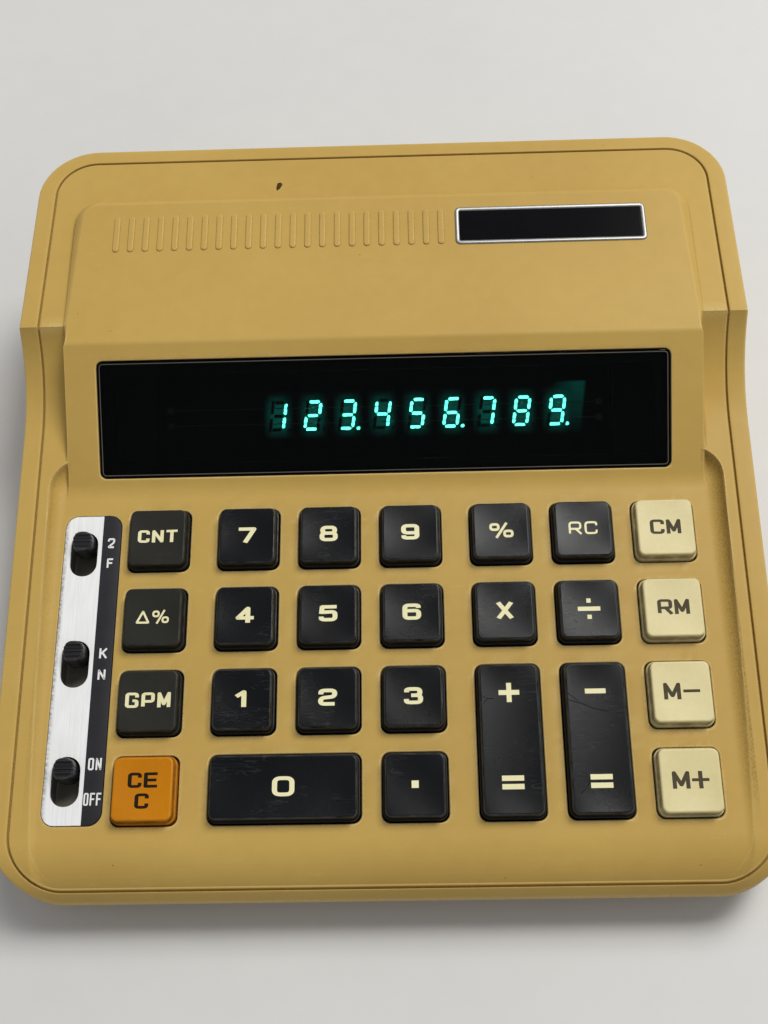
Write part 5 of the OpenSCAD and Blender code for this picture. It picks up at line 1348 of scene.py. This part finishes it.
def build_window():
    """The pane is a thin pad with rounded edges; a dark border of rectangle rows lies under it, and a pale
    hairline of two such rows follows its edge as a painted highlight."""
    half, soft = (WINDOW_W / 2, WINDOW_H / 2), 0.3
    pane = Shell()
    pad(pane, face, (0.0, 0.0), (half[0] - soft, half[1] - soft), WINDOW_CORNER - soft, at_level(-PLAY),
        round_over(soft, WINDOW_T, 5), (24, 8))
    pane.piece("window_pane", WINDOW, "case", ("display_window",), "tinted_window", sharp=40.0)
    under = -PLAY - WINDOW_T - BORDER_DROP
    rows = [(0.0, under), (BORDER_W, under), (BORDER_W, under - BORDER_DEPTH)]
    border_ring = Shell()
    border_ring.rings(loops(face, (0.0, 0.0), half, BORDER_CORNER, rows, steps=6, least=BORDER_CORNER))
    border_ring.piece("window_border", MASK, "case", slot="inner_black", sharp=40.0)
    # Painted highlight: a pale line round the pane's edge
    hairline = [(inset, 0.01 - PLAY) for inset in (0.55, 0.75)]
    edge = Shell()
    edge.rings(loops(face, (0.0, 0.0), half, WINDOW_CORNER, hairline, steps=6))
    edge.piece("window_edge", PANE_EDGE_HIGHLIGHT, "case", slot="tinted_window", sharp=40.0)


# Lit digits: frame corners joined by each bar, and the bars of each figure
FRAME = {"tl": (-1, 1), "tr": (1, 1), "ml": (-1, 0), "mr": (1, 0), "bl": (-1, -1), "br": (1, -1)}
BARS = {"a": ("tl", "tr"), "b": ("tr", "mr"), "c": ("mr", "br"), "d": ("bl", "br"), "e": ("ml", "bl"),
        "f": ("tl", "ml"), "g": ("ml", "mr")}
FIGURES = {1: "bc", 2: "abged", 3: "abgcd", 4: "fgbc", 5: "afgcd", 6: "afgecd", 7: "abc", 8: "abcdefg",
           9: "abcdfg"}
DOTTED = (3, 6, 9)
BAR_SHORT, BAR_W = 0.36, 0.44 * SEGMENT_W


def build_digits():
    """Lit digits: each bar runs between two corners of a leaning frame, stops short of both, and has the
    width w * sqrt(1 - |2t - 1|^8) along its length t, so its ends are round; the points are discs."""
    shell = Shell()
    half = np.array([DIGIT_W - SEGMENT_W, DIGIT_H - SEGMENT_W]) / 2
    t = np.linspace(0, 1, 17)[:, None]
    swell = BAR_W * np.sqrt(1 - np.abs(2 * t - 1) ** 8)
    dot = np.array([DIGIT_W / 2 + 1.3 * SEGMENT_W, -half[1]]) + 0.5 * SEGMENT_W * ways_at(full_turn(16))

    def on_plate(x, flat):
        lean = flat[..., 1] * math.tan(DIGIT_LEAN)
        return face(x + flat[..., 0] + lean, flat[..., 1], ANODE_T - TUBE_DEPTH - TUBE_T)

    for figure, bars in FIGURES.items():
        x = (figure + 1 - (PLACES - 1) / 2) * PLACE_PITCH - PLACE_SHIFT
        for bar in bars:
            start, end = (np.array(FRAME[corner]) * half for corner in BARS[bar])
            way = (end - start) / np.linalg.norm(end - start)
            line = start + BAR_SHORT * way + (end - start - 2 * BAR_SHORT * way) * t
            across = np.array([-way[1], way[0]]) * swell
            shell.rings(on_plate(x, np.stack([line - across, line + across])), closed=False)
        if figure in DOTTED:
            shell.cap(on_plate(x, dot))
    return shell.piece("lit_digits", LIT, "case", ("tube_lit_segments",), "phosphor_lit", sharp=80.0)


def build_blemish():
    """A dark nick in the shelf behind the hump: a short stroke on the shelf, whose width tapers by
    sqrt(1 - t^4) (0.75 + 0.25 t) along its length t from -1 to 1."""
    shell = Shell()
    line = softened([(-26.3, 77.5), (-26.0, 78.3), (-25.6, 79.6), (-25.5, 80.2)], 0.5, False)
    t = np.linspace(-1, 1, len(line))[:, None]
    left, right = ribbon(line, 1.6, False)
    middle, narrow = (left + right) / 2, np.sqrt(np.maximum(1 - t ** 4, 0)) * (0.75 + 0.25 * t)
    rows = np.stack([middle + (right - middle) * narrow, middle + (left - middle) * narrow])
    shell.rings(level(rows[..., 0], rows[..., 1], SHELF_Z + 0.01), closed=False)
    return shell.piece("shelf_nick", NICK, "case", slot="case_plastic", sharp=80.0)


RIM_ROWS = [(0.0, -0.6), (0.0, 0.1), (0.06, 0.24), (0.2, 0.35), (0.4, 0.39), (0.75, 0.37), (1.0, 0.26),
            (1.08, 0.14), (BADGE_RIM, 0.0)]
INLAY_TOP, INLAY_GAP = 0.14, 0.05


def build_badge():
    """Blank plate on the hump: a bright rim whose profile is carried round a rectangle, and a flat dark
    inlay."""
    middle, half = (HUMP_W / 2 - BADGE_EDGE - BADGE_W / 2, 0.0), (BADGE_W / 2, BADGE_H / 2)
    rim = Shell()
    marks_x, marks_y = np.linspace(-20, 20, 9), [-2.0, 2.0]
    rim.rings(loops(crown, middle, half, BADGE_CORNER, RIM_ROWS, marks_x, marks_y, 6, least=0.3),
              wear=[0, 0, 0.5, 0.6, 0.6, 0.6, 0.4, 0, 0])
    rim.piece("plate_rim", BRIGHT, "case", ("badge_plate",), "bright_trim", sharp=40.0)
    inlay = Shell()
    inset = BADGE_RIM + INLAY_GAP
    pad(inlay, crown, middle, (half[0] - inset, half[1] - inset), 0.25, at_level(INLAY_TOP),
        round_over(0.05, 0.3, 3), (16, 4))
    inlay.piece("plate_inlay", INLAY, "case", ("badge_inlay",), "black_gloss", sharp=40.0)


build_window()
build_digits()
build_blemish()
build_badge()

# Switch panel with its slots and labels, and the three knobs; a label's characters, slot, place from the
# slot's middle, letter size, gap and stroke
PANEL_T, LABEL_IN = 0.6, 2.2
LABELS = (
    ("z", 1, 2.7, (1.8, 2.5), 0.0, 0.46), ("F", 1, -2.3, (1.45, 2.35), 0.0, 0.44),
    ("K", 0, 2.45, (1.75, 2.4), 0.0, 0.44), ("N", 0, -2.55, (1.75, 2.4), 0.0, 0.44),
    ("ON", -1, 3.8, (1.3, 2.7), 0.4, 0.4), ("OFF", -1, -3.9, (1.1, 2.75), 0.3, 0.36))


def build_panel():
    """A thin plate cut into cells by plan lines, with the slots left out and their corners filled up to the
    arcs."""
    shell = Shell()
    soft = 0.08
    hx, hy, r = PANEL_W / 2 - soft, PANEL_LEN / 2 - soft, PANEL_CORNER - soft
    quarter = r * (1 - np.cos(np.linspace(0, math.pi / 2, 9)))
    slots = [s * SLOT_PITCH for s in (-1, 0, 1)]
    sx = SLOTS_X - PANEL_X
    reach_x, reach_y = (np.array([-h, SLOT_CORNER - h, h - SLOT_CORNER, h])
                        for h in (SLOT_W / 2, SLOT_LEN / 2))
    hole_x, hole_y = sx + reach_x, [s + reach_y for s in slots]
    xs = np.array([-hx, -hx + 0.9, *hole_x, 0.5 * (hole_x[3] + hx), hx])
    ys = np.unique(np.concatenate([-hy + quarter, hy - quarter, np.array(hole_y).ravel(),
                                   np.linspace(-18, 18, 3)]))
    half = hx - r + np.sqrt(np.clip(r ** 2 - np.clip(np.abs(ys) - (hy - r), 0, r) ** 2, 0, None))
    x = np.where(np.abs(xs) > hx - 1e-6, np.sign(xs) * half[:, None],
                 np.clip(xs, -half[:, None] + 0.05, half[:, None] - 0.05))
    y = np.broadcast_to(ys[:, None], x.shape)
    cut = np.any([in_hole(xs, ys, hole_x, marks) for marks in hole_y], axis=0)
    edge_grime = np.where(xs < -hx + 1e-6, 1.0, 0.0) * np.ones_like(y)
    edge_grime[[0, -1]] = 0.8
    shell.add(deck(PANEL_X + x, PANEL_Y + y, PANEL_PROUD), grid_quads(*x.shape)[~cut], grime=edge_grime)
    quarter = SLOT_CORNER * (1 - ways_at(np.linspace(0, math.pi / 2, 8)))
    slot_half = np.array([SLOT_W, SLOT_LEN]) / 2
    bow = np.concatenate([[slot_half], slot_half - quarter])
    for s in slots:
        walls = [(0.0, PANEL_PROUD), (0.0, PANEL_PROUD - PANEL_T)]
        shell.rings(loops(deck, (SLOTS_X, PANEL_Y + s), slot_half, SLOT_CORNER, walls))
        for way_x, way_y in ((1, 1), (-1, 1), (-1, -1), (1, -1)):
            spot = bow * [way_x, way_y]
            shell.add(deck(SLOTS_X + spot[:, 0], PANEL_Y + s + spot[:, 1], PANEL_PROUD),
                      fan(spot, flip=way_x * way_y > 0))
    ring, out = border(np.stack([x, y], -1))
    rows = []
    for away, drop in round_over(soft, PANEL_T, 4):
        p = ring + out * away
        rows.append(deck(PANEL_X + p[:, 0], PANEL_Y + p[:, 1], PANEL_PROUD - drop))
    rows = np.stack(rows)
    shell.rings(rows, flip=True, grime=1.6)
    shell.piece("panel_plate", PANEL_METAL, "case", ("switch_panel",), "aluminium_panel", sharp=40.0)
    text = Shell()
    right = PANEL_X + PANEL_W / 2 - LABEL_IN
    for word, slot, dy, size, gap, stroke in LABELS:
        place = (right, PANEL_Y + slot * SLOT_PITCH + dy)
        draw_text(text, deck, at_level(PANEL_PROUD - 0.005), word, place, size, gap, stroke)
    text.piece("panel_labels", LEGEND_WHITE, "case", slot="aluminium_panel", sharp=80.0)


KNOB_TOP, RIDGE_PITCH, RIDGE_DEEP, KNOB_CROWN = KNOB_H + 0.5, 0.82, 0.4, 0.1


def build_knob(name, step):
    """A slide knob: a pad whose top carries cross ridges, a cosine along y that fades at its ends, and
    whose sides spread towards the panel."""
    shell = Shell()
    soft, spread = 0.3, 0.55
    half = (KNOB_W / 2 - spread, KNOB_LEN / 2 - spread)

    def ridged(x, y):
        wave = 0.5 - 0.5 * np.cos(2 * math.pi * y / RIDGE_PITCH)
        ridge = RIDGE_DEEP * wave * smooth((half[1] - np.abs(y)) / 0.4)
        return KNOB_TOP - ridge - KNOB_CROWN * (x / 2.0) ** 2

    profile = round_over(soft, soft, 5)[:-1]
    profile += [(0.42, 1.2), (spread, KNOB_TOP - 0.2), (spread, KNOB_TOP + 2.7)]
    middle = (SLOTS_X, PANEL_Y + step * SLOT_PITCH + KNOB_TRAVEL / 2)
    pad(shell, deck, middle, half, 1.5, ridged, profile, (12, 60),
        wear=[0.3, 0.5, 0.5, 0.2, 0, 0, 0, 0])
    return shell.piece(name + "_cap", KNOB_BLACK, name, (name,), "knob_black", sharp=30.0)


build_panel()
for knob_name, knob_step in (("switch_knob_rear", 1), ("switch_knob_middle", 0), ("switch_knob_front", -1)):
    build_knob(knob_name, knob_step)

# Floor, light and camera
FLOOR_HALF, FLOOR_LINES = 4000.0, 24


def build_stage():
    """A pale level floor: an even square grid."""
    t = np.linspace(-FLOOR_HALF, FLOOR_HALF, FLOOR_LINES)
    mesh = bpy.data.meshes.new("floor")
    points = level(*np.meshgrid(t, t)).reshape(-1, 3) * MM
    mesh.from_pydata(points.tolist(), [], grid_quads(FLOOR_LINES, FLOOR_LINES).reshape(-1, 4).tolist())
    m, tree, shader = new_material("pale_floor", Roughness=0.55)
    tone = use_group(tree, AGED_TONE, Fresh=srgb(206, 205, 202), Aged=srgb(200, 199, 196), Cloud=8.0)["Color"]
    tree.links.new(tone, shader.inputs["Base Color"])
    mesh.materials.append(m)
    floor = bpy.data.objects.new("floor", mesh)
    bpy.context.scene.collection.objects.link(floor)


def frame_of(right, up, back, place):
    """Matrix of an object from its own three axes and its place in metres."""
    out = np.eye(4)
    out[:3] = np.stack([right, up, back, place], 1)
    return Matrix(out.tolist())


LAMP_AIM, LAMP_WHITE = (0.0, 0.0, 0.02), (1.0, 0.99, 0.96)


def add_lamp(name, place, size, power):
    """A rectangular lamp, in metres and watts, turned towards the object."""
    lamp = bpy.data.lights.new(name, "AREA")
    lamp.shape, lamp.size, lamp.size_y = "RECTANGLE", size[0], size[1]
    lamp.energy, lamp.color = power, LAMP_WHITE
    obj = bpy.data.objects.new(name, lamp)
    way = np.array(LAMP_AIM) - np.array(place)
    back = -way / np.linalg.norm(way)
    right = np.cross([0.0, 1.0, 0.001], back)
    right /= np.linalg.norm(right)
    obj.matrix_world = frame_of(right, np.cross(back, right), back, place)
    bpy.context.scene.collection.objects.link(obj)


build_stage()
add_lamp("window_light", (0.85, 0.8, 1.8), (0.8, 0.8), 28.0)
add_lamp("ceiling_light", (0.5, 0.65, 2.1), (0.8, 0.6), 11.0)
world = bpy.data.worlds.new("studio")
world.use_nodes = True
world.node_tree.nodes["Background"].inputs[0].default_value = (0.93, 0.95, 1.0, 1.0)
world.node_tree.nodes["Background"].inputs[1].default_value = 0.4
bpy.context.scene.world = world

camera = bpy.data.cameras.new("camera")
camera.lens, camera.sensor_width = 44.04, 36.0
camera.clip_start = 0.01
camera_object = bpy.data.objects.new("camera", camera)
CAMERA_RIGHT, CAMERA_UP = (0.99951, -0.00812, -0.03021), (0.02088, 0.89237, 0.45082)
CAMERA_BACK, CAMERA_PLACE = (0.0233, -0.45123, 0.8921), (6.70, -139.79, 294.21)
camera_object.matrix_world = frame_of(CAMERA_RIGHT, CAMERA_UP, CAMERA_BACK, np.array(CAMERA_PLACE) * MM)
bpy.context.scene.collection.objects.link(camera_object)
bpy.context.scene.camera = camera_object
bpy.context.scene.view_settings.view_transform = "Standard"
